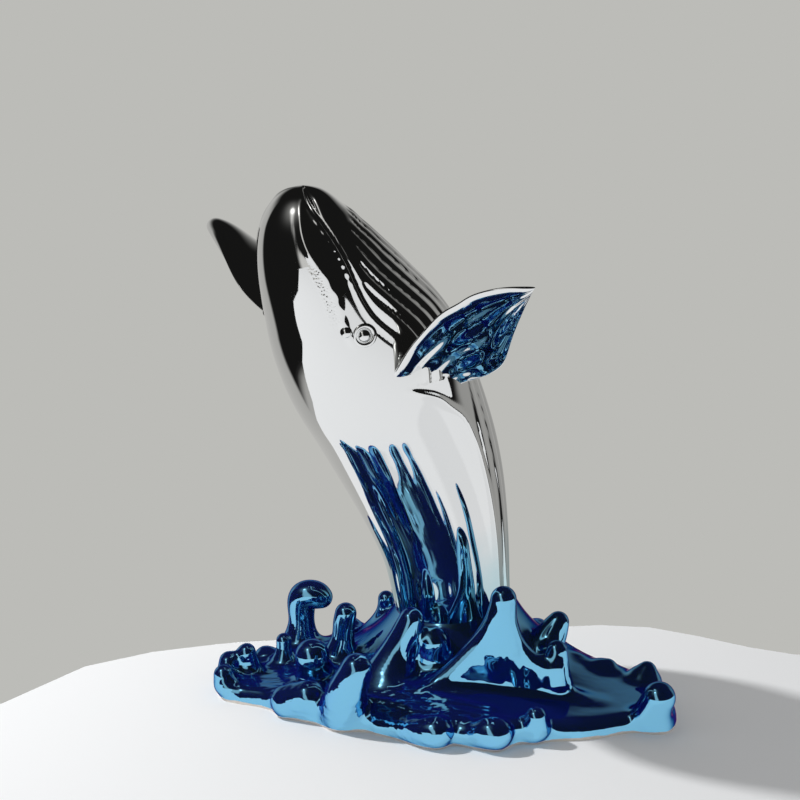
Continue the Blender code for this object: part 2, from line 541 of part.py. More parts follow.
def chrome() -> bpy.types.Material:
    """Plain chrome for the solid."""
    material = bpy.data.materials.new("chrome")
    material.use_nodes = True
    shader = material.node_tree.nodes["Principled BSDF"]
    shader.inputs["Base Color"].default_value = CHROME_COLOUR
    shader.inputs["Metallic"].default_value = 1.0
    shader.inputs["Roughness"].default_value = CHROME_ROUGHNESS
    return material


def main() -> None:
    """Builds the sculpture as one closed solid."""
    for obj in list(bpy.data.objects):
        bpy.data.objects.remove(obj)
    whale = Whale()
    pieces = [splash_mesh(), whale.mesh()]
    pieces.append(fin_mesh(RIGHT_FIN_LEADING, RIGHT_FIN_TRAILING))
    pieces.append(fin_mesh(LEFT_FIN_LEADING, LEFT_FIN_TRAILING))
    for along, angle, radius, sunk in (EYELIDS, BROW):
        pieces.append(ball_mesh(whale.point(along, angle, sunk), radius))
        pieces.append(ball_mesh(whale.point(along, -angle, sunk), radius))
    sculpture = add_object("whale_sculpture", *merged(pieces))
    remesh = sculpture.modifiers.new("one_skin", "REMESH")
    remesh.mode = "VOXEL"
    remesh.voxel_size = REMESH_CELL * METRES_PER_MM
    evaluate(sculpture)
    thin = sculpture.modifiers.new("fewer_faces", "DECIMATE")
    thin.ratio = TRIANGLES / (2 * len(sculpture.data.polygons))
    evaluate(sculpture)
    cut_flat(sculpture, FOOT_CUT * METRES_PER_MM)
    set_size(sculpture)
    sculpture.data.materials.append(chrome())
    print("triangles:", len(sculpture.data.polygons))


main()
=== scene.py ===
"""Chrome humpback whale leaping from a blue splash: one resin casting, plated, in a pale studio.

Lengths are in millimetres in the casting's own drawing frame. One function moves points from there to the
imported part's frame, in metres. Every new surface is worked out as whole numpy arrays.
"""

import logging
import math
from collections.abc import Callable
from dataclasses import dataclass
from enum import Enum
from functools import partial

import bmesh
import bpy
import numpy as np
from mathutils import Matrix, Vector


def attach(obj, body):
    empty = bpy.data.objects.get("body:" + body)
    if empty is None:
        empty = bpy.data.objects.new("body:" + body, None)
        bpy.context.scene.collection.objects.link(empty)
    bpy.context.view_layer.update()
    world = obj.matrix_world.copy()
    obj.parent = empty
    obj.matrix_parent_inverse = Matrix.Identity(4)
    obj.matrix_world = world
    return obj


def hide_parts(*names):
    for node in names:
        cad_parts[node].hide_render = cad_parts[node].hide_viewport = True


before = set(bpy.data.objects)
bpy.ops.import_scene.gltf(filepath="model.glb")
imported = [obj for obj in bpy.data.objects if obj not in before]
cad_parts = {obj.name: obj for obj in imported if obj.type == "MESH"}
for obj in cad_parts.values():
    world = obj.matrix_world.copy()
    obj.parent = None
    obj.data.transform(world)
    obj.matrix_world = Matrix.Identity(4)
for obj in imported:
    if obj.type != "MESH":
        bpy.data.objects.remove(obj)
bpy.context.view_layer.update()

Array = np.ndarray
LOG = logging.getLogger("whale_sculpture")
METRES_PER_MM = 0.001
# From the drawing frame to the middle of the footprint, with the foot ground flat by the last of these.
SHIFT_MM = np.array([2.904, 29.575, -0.6])
# Takes the fine surface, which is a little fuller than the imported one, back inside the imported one's box.
TO_PACKED_SIZE = np.array([0.9978, 0.9983, 0.9987])
# Farther than any place on the casting, as the start of a search for the nearest.
FAR_MM = 1e9


class Side(Enum):
    """Side of the whale, as the sign of its angle from the middle of the back."""

    RIGHT = 1
    LEFT = -1


def spline(knots: Array, values: Array, at: Array) -> Array:
    """Natural cubic spline through values at the knots.

    Args:
        knots: Increasing places.
        values: One row for each knot.
        at: Places to read, held between the first and the last knot.

    Returns:
        One row for each place.
    """
    knots = np.asarray(knots, float)
    values = np.asarray(values, float).reshape(len(knots), -1)
    gap = np.diff(knots)
    rise = np.diff(values, axis=0) / gap[:, None]
    system = np.eye(len(knots))
    right = np.zeros_like(values)
    inner = np.arange(1, len(knots) - 1)
    system[inner, inner - 1] = gap[:-1]
    system[inner, inner] = 2 * (gap[:-1] + gap[1:])
    system[inner, inner + 1] = gap[1:]
    right[inner] = 6 * (rise[1:] - rise[:-1])
    bend = np.linalg.solve(system, right)
    held = np.clip(np.asarray(at, float), knots[0], knots[-1])
    span = np.clip(np.searchsorted(knots, held, side="right") - 1, 0, len(knots) - 2)
    width = gap[span][:, None]
    before = (knots[span + 1] - held)[:, None] / width
    after = 1 - before
    curve = before * values[span] + after * values[span + 1]
    curve += ((before**3 - before) * bend[span] + (after**3 - after) * bend[span + 1]) * width**2 / 6
    return curve


def bump(distance: Array, width: float) -> Array:
    """A smooth hump: e to the minus square of distance over width."""
    return np.exp(-((distance / width) ** 2))


def ramp(value: Array, start: float, end: float) -> Array:
    """0 before start, 1 after end and the cubic 3t^2 - 2t^3 between."""
    share = np.clip((value - start) / (end - start), 0, 1)
    return share * share * (3 - 2 * share)


def smooth_least(first: Array, second: Array, reach: float) -> Array:
    """The lesser of two fields, less a cubic fillet where they are within reach of each other."""
    share = np.maximum(reach - np.abs(first - second), 0) / reach
    return np.minimum(first, second) - share**3 * reach / 6


def unit(vectors: Array) -> Array:
    """Vectors over their lengths."""
    return vectors / np.maximum(np.linalg.norm(vectors, axis=-1, keepdims=True), 1e-12)
def share_along(offset: Array, way: Array) -> Array:
    """Share of the way along a segment that is nearest to each place, from the place's offset to its start."""
    return np.clip(offset @ way / (way @ way), 0, 1)


def direction(azimuth: Array, elevation: Array) -> Array:
    """Unit vectors at angles in degrees: azimuth 0 is towards the camera and 90 to the right."""
    turn, rise = np.broadcast_arrays(np.radians(azimuth), np.radians(elevation))
    return np.stack([np.sin(turn) * np.cos(rise), -np.cos(turn) * np.cos(rise), np.sin(rise)], axis=-1)


def faces_in(points: Array, quads: Array) -> bool:
    """Whether the quads of a closed skin face inwards: the volume inside them then comes out negative."""
    corners = (points - points.mean(0))[quads]
    return np.einsum("ij,ij->i", corners[:, 0], np.cross(corners[:, 1], corners[:, 2])).sum() < 0


def closed_tube(grid: Array, first: Array, last: Array) -> tuple[Array, list]:
    """Joins rings of points into a tube and closes each end with a fan to one point.

    Args:
        grid: Points by ring, side and axis.
        first: Point that closes the first ring.
        last: Point that closes the last ring.

    Returns:
        Points, and faces that point outwards.
    """
    rings, sides = grid.shape[:2]
    row, column = np.meshgrid(np.arange(rings - 1), np.arange(sides), indexing="ij")
    after = (column + 1) % sides
    quads = np.stack([row * sides + column, row * sides + after, (row + 1) * sides + after,
                      (row + 1) * sides + column]).reshape(4, -1).T
    edge = np.arange(sides)
    beside = (edge + 1) % sides
    top = (rings - 1) * sides
    foot = np.column_stack([beside, edge, np.full(sides, rings * sides)])
    tip = np.column_stack([top + edge, top + beside, np.full(sides, rings * sides + 1)])
    points = np.concatenate([grid.reshape(-1, 3), [first, last]])
    if faces_in(points, quads):
        quads, foot, tip = quads[:, ::-1], foot[:, ::-1], tip[:, ::-1]
    return points, quads.tolist() + foot.tolist() + tip.tolist()
def add_object(name: str, data: bpy.types.ID) -> bpy.types.Object:
    """New object of the scene for a mesh, a lamp or a camera."""
    obj = bpy.data.objects.new(name, data)
    bpy.context.scene.collection.objects.link(obj)
    return obj


def piece(name: str, points: Array, faces: list) -> bpy.types.Object:
    """Smooth-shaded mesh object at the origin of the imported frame.

    Args:
        name: The piece's name.
        points: Points of the drawing frame, in millimetres.
        faces: Corner numbers of each face.

    Returns:
        The new object.
    """
    mesh = bpy.data.meshes.new(name)
    mesh.from_pydata(((points + SHIFT_MM) * TO_PACKED_SIZE * METRES_PER_MM).tolist(), [], faces)
    mesh.polygons.foreach_set("use_smooth", np.ones(len(mesh.polygons), bool))
    mesh.update()
    return add_object(name, mesh)


def point_mask(obj: bpy.types.Object, name: str, values: Array) -> None:
    """Keeps one number for each point of a mesh, under a name that a material reads."""
    layer = obj.data.attributes.new(name, "FLOAT", "POINT")
    layer.data.foreach_set("value", values.astype(np.float32))


def linear(hex_colour: str) -> tuple[float, float, float, float]:
    """Linear colour of an sRGB hex value."""
    parts = [int(hex_colour[k:k + 2], 16) / 255 for k in (1, 3, 5)]
    made = [c / 12.92 if c <= 0.04045 else ((c + 0.055) / 1.055) ** 2.4 for c in parts]
    return made[0], made[1], made[2], 1.0


def add_node(tree: bpy.types.NodeTree, kind: str, settings: dict | None = None, **sockets) -> bpy.types.Node:
    """Adds a node with its settings, values and links.

    Args:
        tree: Node tree of the material or the world.
        kind: Blender's name of the node type.
        settings: Attributes of the node itself.
        sockets: Value for each input, or the output socket that feeds it; _ stands for a space, in0 for input 0.

    Returns:
        The new node.
    """
    node = tree.nodes.new(kind)
    for key, value in (settings or {}).items():
        setattr(node, key, value)
    for key, value in sockets.items():
        numbered = key.startswith("in") and key[2:].isdigit()
        socket = node.inputs[int(key[2:]) if numbered else key.replace("_", " ")]
        if isinstance(value, bpy.types.NodeSocket):
            tree.links.new(value, socket)
        else:
            socket.default_value = value
    return node


def maths(tree: bpy.types.NodeTree, operation: str, *values) -> bpy.types.NodeSocket:
    """Adds a Math node with its inputs in order and returns its output."""
    sockets = {f"in{k}": value for k, value in enumerate(values)}
    return add_node(tree, "ShaderNodeMath", {"operation": operation}, **sockets).outputs[0]


def noise(tree: bpy.types.NodeTree, place: bpy.types.NodeSocket, size_mm: float, detail: float,
          roughness: float = 0.5) -> bpy.types.NodeSocket:
    """Adds a Noise Texture with clouds of the given size and returns its output."""
    return add_node(tree, "ShaderNodeTexNoise", Vector=place, Scale=1 / METRES_PER_MM / size_mm, Detail=detail,
                    Roughness=roughness).outputs[0]


def fade(tree: bpy.types.NodeTree, value: bpy.types.NodeSocket, start: float, end: float, first: float, last: float,
         kind: str = "LINEAR") -> bpy.types.NodeSocket:
    """Adds a Map Range and returns its output, which goes from first to last as the value goes from start to end."""
    return add_node(tree, "ShaderNodeMapRange", {"interpolation_type": kind}, Value=value, From_Min=start, From_Max=end,
                    To_Min=first, To_Max=last).outputs[0]


def blended(tree: bpy.types.NodeTree, share: bpy.types.NodeSocket, first: str, second: str) -> bpy.types.NodeSocket:
    """Adds a colour mix between two sRGB hex values and returns its colour."""
    colours = {"in6": linear(first), "in7": linear(second)}
    return add_node(tree, "ShaderNodeMix", {"data_type": "RGBA"}, in0=share, **colours).outputs[2]


def bumped(tree: bpy.types.NodeTree, height: bpy.types.NodeSocket, strength: float, depth_m: float,
           *under: bpy.types.NodeSocket) -> bpy.types.NodeSocket:
    """Adds a Bump node, over the normal of another where one is given, and returns its normal."""
    normal = {"Normal": under[0]} if under else {}
    return add_node(tree, "ShaderNodeBump", Strength=strength, Distance=depth_m, Height=height, **normal).outputs[0]


def new_material(name: str) -> tuple[bpy.types.Material, bpy.types.NodeTree, bpy.types.Node]:
    """Empty node material, its tree and its Principled shader."""
    material = bpy.data.materials.new(name)
    material.use_nodes = True
    tree = material.node_tree
    return material, tree, tree.nodes["Principled BSDF"]


@dataclass(frozen=True)
class MirrorChromePlating:
    """Silver mirror chrome, vacuum-plated on cast resin: a clean mirror whose slow waves bend what it reflects.

    A pale blue tint, a painted reflection of the blue splash, thins out up the flank between two heights. Each cloud is
    its size in millimetres, its detail and its roughness, and each bump its strength and its depth in metres.
    """

    name: str = "mirror_chrome_vacuum_plated_on_resin"
    silver: str = "#F4F5F5"
    # Painted reflection: a pale blue tint in the colour low on the body stands in for the blue splash mirrored there.
    painted_splash_reflection: str = "#BFE4EC"
    painted_reflection_heights_m: tuple = (0.055, 0.125)
    painted_reflection_cloud: tuple = (20.0, 3.0, 0.6)
    painted_reflection_drift_m: float = 0.03
    roughness: float = 0.025
    smudge: float = 0.03
    smudge_cloud: tuple = (12.0, 4.0, 0.55)
    smudge_levels: tuple = (0.45, 0.8)
    grain_mm: float = 1.3
    grain_bump: tuple = (0.5, 0.0004)
    wave_cloud: tuple = (26.0, 1.0)
    wave_bump: tuple = (0.06, 0.002)

    def build(self) -> bpy.types.Material:
        """Makes the material."""
        material, tree, shader = new_material(self.name)
        place = add_node(tree, "ShaderNodeTexCoord").outputs["Object"]
        height = add_node(tree, "ShaderNodeSeparateXYZ", in0=place).outputs["Z"]
        # Painted reflection of the splash: the base colour turns pale blue below the lower height and fades out by the
        # upper one.
        drift = maths(tree, "MULTIPLY_ADD", noise(tree, place, *self.painted_reflection_cloud), self.painted_reflection_drift_m, height)
        lacquer_and_painted_reflection_share = fade(tree, drift, *self.painted_reflection_heights_m, 1.0, 0.0, "SMOOTHSTEP")
        smear = noise(tree, place, *self.smudge_cloud)
        dull = fade(tree, smear, *self.smudge_levels, self.roughness, self.roughness + self.smudge)
        crust = add_node(tree, "ShaderNodeAttribute", {"attribute_name": "barnacle_crust"})
        pebbles = add_node(tree, "ShaderNodeTexVoronoi", Vector=place, Scale=1 / METRES_PER_MM / self.grain_mm)
        pits = maths(tree, "MULTIPLY", pebbles.outputs["Distance"], crust.outputs["Fac"])
        rough = bumped(tree, pits, *self.grain_bump)
        sway = bumped(tree, noise(tree, place, *self.wave_cloud), *self.wave_bump, rough)
        shader.inputs["Metallic"].default_value = 1.0
        tree.links.new(blended(tree, lacquer_and_painted_reflection_share, self.silver, self.painted_splash_reflection), shader.inputs["Base Color"])
        tree.links.new(dull, shader.inputs["Roughness"])
        tree.links.new(sway, shader.inputs["Normal"])
        return material


@dataclass(frozen=True)
class BlueChromeLacquer:
    """Blue candy lacquer over mirror chrome, sprayed: deep blue mirror that turns grey-lilac at a glance.

    The lacquer stops just above the table, where a line of bare cream resin shows. Drawn-out ripples bend what the low
    left part of the water mirrors. Clouds and bumps are given as for the chrome.
    """

    name: str = "blue_candy_lacquer_over_chrome"
    blue: str = "#88D0F2"
    glance: str = "#62265C"
    haze: str = "#3040D8"
    haze_weight: float = 0.24
    haze_roughness: float = 0.85
    roughness: float = 0.03
    resin: str = "#E9E2D2"
    resin_roughness: float = 0.55
    bare_heights_m: tuple = (0.002, 0.0024)
    bare_cloud: tuple = (9.0, 3.0)
    bare_drift_m: float = 0.0018
    wave_cloud: tuple = (14.0, 2.0)
    wave_bump: tuple = (0.15, 0.0015)
    ripple_cloud: tuple = (5.5, 1.5)
    ripple_bump: tuple = (0.6, 0.0016)
    ripple_stretch: tuple = (0.4, 1.0, 1.0)
    ripple_turn: tuple = (0.0, 0.0, 0.35)
    ripple_fades_m: tuple = (("Z", 0.018, 0.03), ("X", -0.01, 0.03))

    def build(self) -> bpy.types.Material:
        """Makes the material: mirror above, bare resin below the sprayed edge."""
        material, tree, shader = new_material(self.name)
        place = add_node(tree, "ShaderNodeTexCoord").outputs["Object"]
        split = add_node(tree, "ShaderNodeSeparateXYZ", in0=place).outputs
        uneven = maths(tree, "MULTIPLY_ADD", noise(tree, place, *self.bare_cloud), self.bare_drift_m, split["Z"])
        lacquer_and_painted_reflection_share = fade(tree, uneven, *self.bare_heights_m, 0.0, 1.0, "SMOOTHSTEP")
        dull = fade(tree, lacquer_and_painted_reflection_share, 0.0, 1.0, self.resin_roughness, self.roughness)
        waves = bumped(tree, noise(tree, place, *self.wave_cloud), *self.wave_bump)
        drawn_out = add_node(tree, "ShaderNodeMapping", Vector=place, Scale=self.ripple_stretch,
                             Rotation=self.ripple_turn)
        ripples = noise(tree, drawn_out.outputs[0], *self.ripple_cloud)
        for axis, start, end in self.ripple_fades_m:
            ripples = maths(tree, "MULTIPLY", ripples, fade(tree, split[axis], start, end, 1.0, 0.0))
        shader.inputs["Specular Tint"].default_value = linear(self.glance)
        shader.inputs["Sheen Weight"].default_value = self.haze_weight
        shader.inputs["Sheen Roughness"].default_value = self.haze_roughness
        shader.inputs["Sheen Tint"].default_value = linear(self.haze)
        tree.links.new(blended(tree, lacquer_and_painted_reflection_share, self.resin, self.blue), shader.inputs["Base Color"])
        tree.links.new(lacquer_and_painted_reflection_share, shader.inputs["Metallic"])
        tree.links.new(dull, shader.inputs["Roughness"])
        tree.links.new(bumped(tree, ripples, *self.ripple_bump, waves), shader.inputs["Normal"])
        return material


@dataclass(frozen=True)
class TablePaint:
    """Matt white paint of the table top, with no shine of its own and more even in mirrors than to the eye."""

    name: str = "matt_white_table_paint"
    white: str = "#F0F1F2"
    roughness: float = 0.9
    even_in_mirrors: float = 0.8
    even_level: float = 0.93

    def build(self) -> bpy.types.Material:
        """Makes the material."""
        material, tree, shader = new_material(self.name)
        shader.inputs["Base Color"].default_value = linear(self.white)
        shader.inputs["Roughness"].default_value = self.roughness
        shader.inputs["Specular IOR Level"].default_value = 0.0
        ray = add_node(tree, "ShaderNodeLightPath")
        mirrored = maths(tree, "MULTIPLY", ray.outputs["Is Glossy Ray"], self.even_in_mirrors)
        even = add_node(tree, "ShaderNodeEmission", Color=linear(self.white), Strength=self.even_level)
        mix = add_node(tree, "ShaderNodeMixShader", in0=mirrored, in1=shader.outputs[0], in2=even.outputs[0])
        tree.links.new(mix.outputs[0], tree.nodes["Material Output"].inputs["Surface"])
        return material


@dataclass
class WhaleBody:
    """The whale's skin: a tube swept along a spine that lies in one upright plane, with its relief."""

    foot_xy: tuple = (7.0, 10.0)
    yaw_deg: float = 40.0
    spine_lean: tuple = (-7.9, -4.1, 3.2, 8.3, 16.6, 27.8, 41.2, 56.0, 65.9, 76.0, 85.4, 93.5, 98.7, 104.0, 105.5)
    spine_height: tuple = (5.0, 20.3, 49.4, 79.0, 107.8, 135.6, 162.5, 188.5, 203.6, 218.5, 233.8, 247.6, 257.9, 273.5,
                           291.5)
    sway_at: tuple = (60.0, 108.0, 130.0, 150.0, 170.0, 188.0, 205.0, 225.0, 312.0)
    sway: tuple = (0.0, 0.4, 2.0, 5.0, 9.4, 13.8, 15.8, 16.0, 16.0)
    sway_way: tuple = (0.0, -0.98, 0.17)
    girth_at: tuple = (0.0, 16.0, 36.0, 76.0, 116.0, 156.0, 176.0, 196.0, 216.0, 236.0, 256.0, 266.0, 276.0, 286.0,
                       294.0, 302.0, 308.0, 311.6)
    girth_radius: tuple = (27.0, 28.9, 31.4, 35.2, 41.3, 45.7, 47.0, 47.9, 46.6, 42.6, 37.0, 34.0, 30.8, 26.8, 22.8,
                           17.2, 11.0, 0.0)
    jaw_fullness: float = 1.4
    mouth_at: tuple = (200.0, 237.0, 248.0, 259.0, 272.0, 284.0, 292.0, 301.0, 307.0)
    mouth_angle: tuple = (90.0, 85.0, 81.0, 81.0, 84.0, 85.0, 82.0, 74.0, 68.0)
    snout_edge_at: tuple = (236.0, 253.0, 263.0, 272.0, 280.0, 286.0, 295.0, 307.0)
    snout_edge_angle: tuple = (57.0, 57.0, 60.0, 60.0, 57.0, 52.0, 48.0, 48.0)
    flank_edge_at: tuple = (0.0, 100.0, 139.0, 152.0, 163.0, 173.0, 181.0, 190.0, 196.0, 203.0, 212.0)
    flank_edge_angle: tuple = (102.0, 101.0, 101.0, 101.0, 100.0, 97.0, 92.0, 87.0, 82.0, 75.0, 66.0)
    head_fade: tuple = (226.0, 242.0)
    lip_groove_depth: float = 1.5
    lip_groove_width: float = 1.5
    lip_ridge_height: float = 0.9
    lip_ridge_width: float = 1.6
    lip_ridge_offset: float = 2.6
    bead_share: float = 0.12
    lip_beads: tuple = (0.0, 4.3, 5.0, 262.0, 274.0)
    snout_knobs: tuple = (247.625, 9.5, 7.0, 244.0, 252.0)
    snout_edge_height: float = 0.8
    snout_edge_width: float = 2.0
    snout_edge_fade: tuple = (236.0, 246.0)
    flank_ridge_width: float = 2.2
    flank_step: float = 1.2
    flank_step_width: float = 3.0
    flank_fade: tuple = (196.0, 210.0)
    pleat_height: float = 1.5
    pleat_roundness: float = 0.8
    pleats_on_head: float = 9.0
    pleats_on_belly: float = 5.0
    pleats_gain: tuple = (186.0, 206.0)
    pleats_off_lip: tuple = (1.0, 6.0)
    pleats_end: tuple = (0.1, 0.5)
    pleat_spacing_at: tuple = (0.0, 165.0, 200.0, 225.0, 245.0, 267.0, 284.0, 297.0)
    pleat_spacing_deg: tuple = (13.0, 13.0, 10.8, 9.6, 10.2, 11.2, 12.0, 14.0)
    pleats_start: float = 304.0
    pleats_start_bend: float = 0.45
    pleats_start_fade: float = 8.0
    jaw_angles: tuple = (88.0, 118.0)
    jaw_fade: tuple = (282.0, 298.0)
    mouth_notch_depth: float = 3.0
    mouth_notch_width: float = 2.5
    mouth_notch_fade: tuple = (296.0, 306.0)
    smooth_tip: tuple = (1.0, 8.0)
    crust_top_deg: tuple = (1.0, 3.0)
    crust_bottom_deg: tuple = (10.0, 13.0)
    crust_start: tuple = (250.0, 256.0)
    crust_end: tuple = (276.0, 284.0)
    first_ring: float = 12.0
    head_ring: float = 186.0
    tip_crowding: float = 0.28
    belly_rings: int = 130
    head_rings: int = 330
    sides: int = 204
    crowding_at_deg: tuple = (0.0, 38.0, 50.0, 96.0, 110.0, 180.0)
    crowding: tuple = (0.45, 0.5, 1.45, 1.45, 1.0, 1.0)

    def __post_init__(self) -> None:
        """Works out the directions of the back and the right side, and the spine's own length."""
        yaw = math.radians(self.yaw_deg)
        self.back = np.array([-math.cos(yaw), -math.sin(yaw), 0.0])
        self.right = np.array([math.sin(yaw), -math.cos(yaw), 0.0])
        self.foot = np.array([*self.foot_xy, 0.0])
        self.plan = np.column_stack([self.spine_lean, self.spine_height])
        self.knots = np.concatenate([[0.0], np.cumsum(np.linalg.norm(np.diff(self.plan, axis=0), axis=1))])
        self.length = self.girth_at[-1]

    def frame(self, along: Array) -> tuple[Array, Array]:
        """Spine point, and direction to the back, for each distance along the spine."""
        step = 0.5
        last = self.knots[-1]
        place = spline(self.knots, self.plan, along)
        ahead = spline(self.knots, self.plan, np.minimum(along + step, last))
        behind = spline(self.knots, self.plan, np.maximum(np.minimum(along, last) - step, 0.0))
        way = unit(ahead - behind)
        place = place + np.maximum(along - last, 0.0)[:, None] * way
        up = np.array([0.0, 0.0, 1.0])
        centre = self.foot + place[:, :1] * self.back + place[:, 1:] * up
        centre = centre + spline(self.sway_at, self.sway, along) * np.array(self.sway_way)
        return centre, way[:, 1:] * self.back - way[:, :1] * up

    def girth(self, along: Array) -> Array:
        """Plain body radius: the root of a spline through the squared radii, which rounds the snout like a dome."""
        squared = spline(self.girth_at, np.array(self.girth_radius) ** 2, along)[:, 0]
        return np.sqrt(np.maximum(squared, 0))
    def beads(self, along: Array, row: tuple) -> Array:
        """Share by which a ridge swells along the body, from its first bead, spacing, wander and fade."""
        first, spacing, wander, start, end = row
        wave = np.sin(2 * np.pi * (along - first) / spacing + np.sin(along / wander))
        return 1 + self.bead_share * wave * ramp(along, start, end)

    def relief(self, along: Array, angle: Array, radius: Array) -> Array:
        """Height of the skin over the plain body: a sum of humps across lines that run along the body.

        Args:
            along: Distances along the spine, one column.
            angle: Angles from the middle of the back, in radians.
            radius: Plain radius at each place.

        Returns:
            Height in millimetres at each place.
        """
        side = np.degrees(np.abs(angle))
        arc = np.radians(1.0) * radius
        mouth = spline(self.mouth_at, self.mouth_angle, along[:, 0])
        snout = spline(self.snout_edge_at, self.snout_edge_angle, along[:, 0])
        flank = spline(self.flank_edge_at, self.flank_edge_angle, along[:, 0])
        on_head = ramp(along, *self.head_fade)
        from_mouth = (side - mouth) * arc
        ridge = self.lip_ridge_height * bump(from_mouth + self.lip_ridge_offset, self.lip_ridge_width)
        height = -self.lip_groove_depth * bump(from_mouth, self.lip_groove_width) * on_head
        height += ridge * self.beads(along, self.lip_beads) * on_head
        edge = self.snout_edge_height * bump((side - snout) * arc, self.snout_edge_width)
        height += edge * self.beads(along, self.snout_knobs) * ramp(along, *self.snout_edge_fade)
        from_flank = (side - flank) * arc
        step = self.flank_step * ramp(from_flank, 0.0, self.flank_step_width)
        ridge = self.lip_ridge_height * bump(from_flank, self.flank_ridge_width)
        height += (ridge - step) * (1 - ramp(along, *self.flank_fade))
        number = (180.0 - side) / spline(self.pleat_spacing_at, self.pleat_spacing_deg, along[:, 0])
        wave = np.abs(np.cos(np.pi * number)) ** self.pleat_roundness - 0.5
        last = self.pleats_on_belly + (self.pleats_on_head - self.pleats_on_belly) * ramp(along, *self.pleats_gain)
        room = ramp(from_mouth, *self.pleats_off_lip) * on_head + 1 - on_head
        inside = (1 - ramp(number - last, *self.pleats_end)) * room
        starts = self.pleats_start - self.pleats_start_bend * number**2
        height += self.pleat_height * wave * inside * (1 - ramp(along, starts - self.pleats_start_fade, starts))
        height += self.jaw_fullness * ramp(side, *self.jaw_angles) * ramp(along, *self.jaw_fade)
        notch = bump(from_mouth, self.mouth_notch_width) * ramp(along, *self.mouth_notch_fade)
        return (height - self.mouth_notch_depth * notch) * ramp(radius, *self.smooth_tip)

    def skin(self, along: Array, angle: Array) -> Array:
        """Grid of skin points: spine point plus radius times the direction at each angle."""
        centre, normal = self.frame(along)
        radius = self.girth(along)[:, None] + 0 * angle[None, :]
        radius = radius + self.relief(along[:, None], angle[None, :] + 0 * radius, radius)
        out = np.cos(angle)[None, :, None] * normal[:, None] + np.sin(angle)[None, :, None] * self.right
        return centre[:, None] + radius[:, :, None] * out

    def patch(self, along: float, angle_deg: float) -> tuple[Array, Array, Array, Array]:
        """Skin point with three directions there: towards the snout, round towards the belly, and outwards."""
        turns = np.radians([angle_deg - 1, angle_deg, angle_deg + 1])
        near = self.skin(np.array([along - 1, along, along + 1]), turns)
        forward = unit(near[2, 1] - near[0, 1])
        around = unit(near[1, 2] - near[1, 0])
        out = unit(np.cross(forward, around))
        inward = self.frame(np.array([along]))[0][0] - near[1, 1]
        return near[1, 1], forward, around, -out if out @ inward > 0 else out

    def lines(self) -> tuple[Array, Array]:
        """Distances and angles of the skin's grid, closer together on the head, the lips and the pleats."""
        belly = np.linspace(self.first_ring, self.head_ring, self.belly_rings, endpoint=False)
        share = np.linspace(0, 1, self.head_rings, endpoint=False)
        crowded = share + self.tip_crowding * (np.sin(share * math.pi / 2) - share)
        fine = np.linspace(0, math.pi, 2001)
        density = np.interp((fine[1:] + fine[:-1]) / 2, np.radians(self.crowding_at_deg), self.crowding)
        count = np.concatenate([[0], np.cumsum(density)])
        right = np.interp(np.linspace(0, count[-1], self.sides // 2 + 1), count, fine)
        along = np.concatenate([belly, self.head_ring + (self.length - self.head_ring) * crowded])
        return along, np.concatenate([right, -right[1:-1][::-1]])

    def build(self) -> bpy.types.Object:
        """Makes the skin and its mask for the crust behind the snout's edge."""
        along, angle = self.lines()
        grid = self.skin(along, angle)
        ends = self.frame(np.array([self.first_ring, self.length]))[0]
        points, faces = closed_tube(grid, ends[0], ends[1])
        obj = piece("whale_skin", points, faces)
        below = spline(self.snout_edge_at, self.snout_edge_angle, along) - np.degrees(np.abs(angle))[None, :]
        crust = ramp(below, *self.crust_top_deg) * (1 - ramp(below, *self.crust_bottom_deg))
        crust *= (ramp(along, *self.crust_start) * (1 - ramp(along, *self.crust_end)))[:, None]
        point_mask(obj, "barnacle_crust", np.concatenate([crust.ravel(), [0.0, 0.0]]))
        return obj


@dataclass
class PectoralFin:
    """A flipper between two edges: thick in front, thin behind and hollow on one face.

    Each fold is its waves across the chord, its waves along the span, its phase and its height.
    """

    name: str
    leading: tuple
    trailing: tuple
    leading_radius: float = 4.2
    trailing_radius: float = 1.5
    thinning: float = 0.7
    tip_bluntness: float = 6.0
    tip_fullness: float = 1.02
    hollow: float = 2.0
    full_hollow_width: float = 36.0
    folds: tuple = ((3.1, 0.5, 0.0, 0.3), (1.7, -2.3, 1.0, 0.24))
    fold_start: tuple = (0.1, 0.3)
    fold_end: tuple = (0.8, 0.97)
    rings: int = 150
    sides: int = 150

    def build(self) -> bpy.types.Object:
        """Makes the fin: a flattened ring across the chord at each step of the span, folded on the hollow face."""
        knots = np.linspace(0, 1, len(self.leading))
        share = np.sin(np.linspace(0, 1, self.rings) * math.pi / 2)
        front = spline(knots, np.array(self.leading, float), share)
        back = spline(knots, np.array(self.trailing, float), share)
        middle = (front + back) / 2
        chord = back - front
        width = np.linalg.norm(chord, axis=1, keepdims=True)
        chord = chord / width
        span = np.gradient(middle, axis=0)
        thick = unit(np.cross(span, chord))
        turn = np.linspace(0, 2 * math.pi, self.sides, endpoint=False)
        across = -np.cos(turn)[None, :] * width / 2
        place = 0.5 - 0.5 * np.cos(turn)[None, :]
        tip = np.sqrt(np.clip(self.tip_fullness - share**self.tip_bluntness, 0, 1))[:, None]
        half = (self.leading_radius + (self.trailing_radius - self.leading_radius) * place**self.thinning) * tip
        rise = np.sin(turn)[None, :] * half
        bowl = self.hollow * (1 - (2 * place - 1) ** 2) * np.clip(width / self.full_hollow_width, 0, 1)
        fold = sum(height * np.sin(2 * math.pi * (chordwise * place + spanwise * share[:, None]) + phase)
                   for chordwise, spanwise, phase, height in self.folds)
        under = np.clip(-np.sin(turn), 0, 1)[None, :] ** self.thinning
        rise = rise + fold * under * ramp(place, *self.fold_start) * (1 - ramp(place, *self.fold_end)) * tip
        grid = middle[:, None] + across[:, :, None] * chord[:, None] + (rise + bowl)[:, :, None] * thick[:, None]
        return piece(self.name, *closed_tube(grid, grid[0].mean(0), grid[-1].mean(0)))


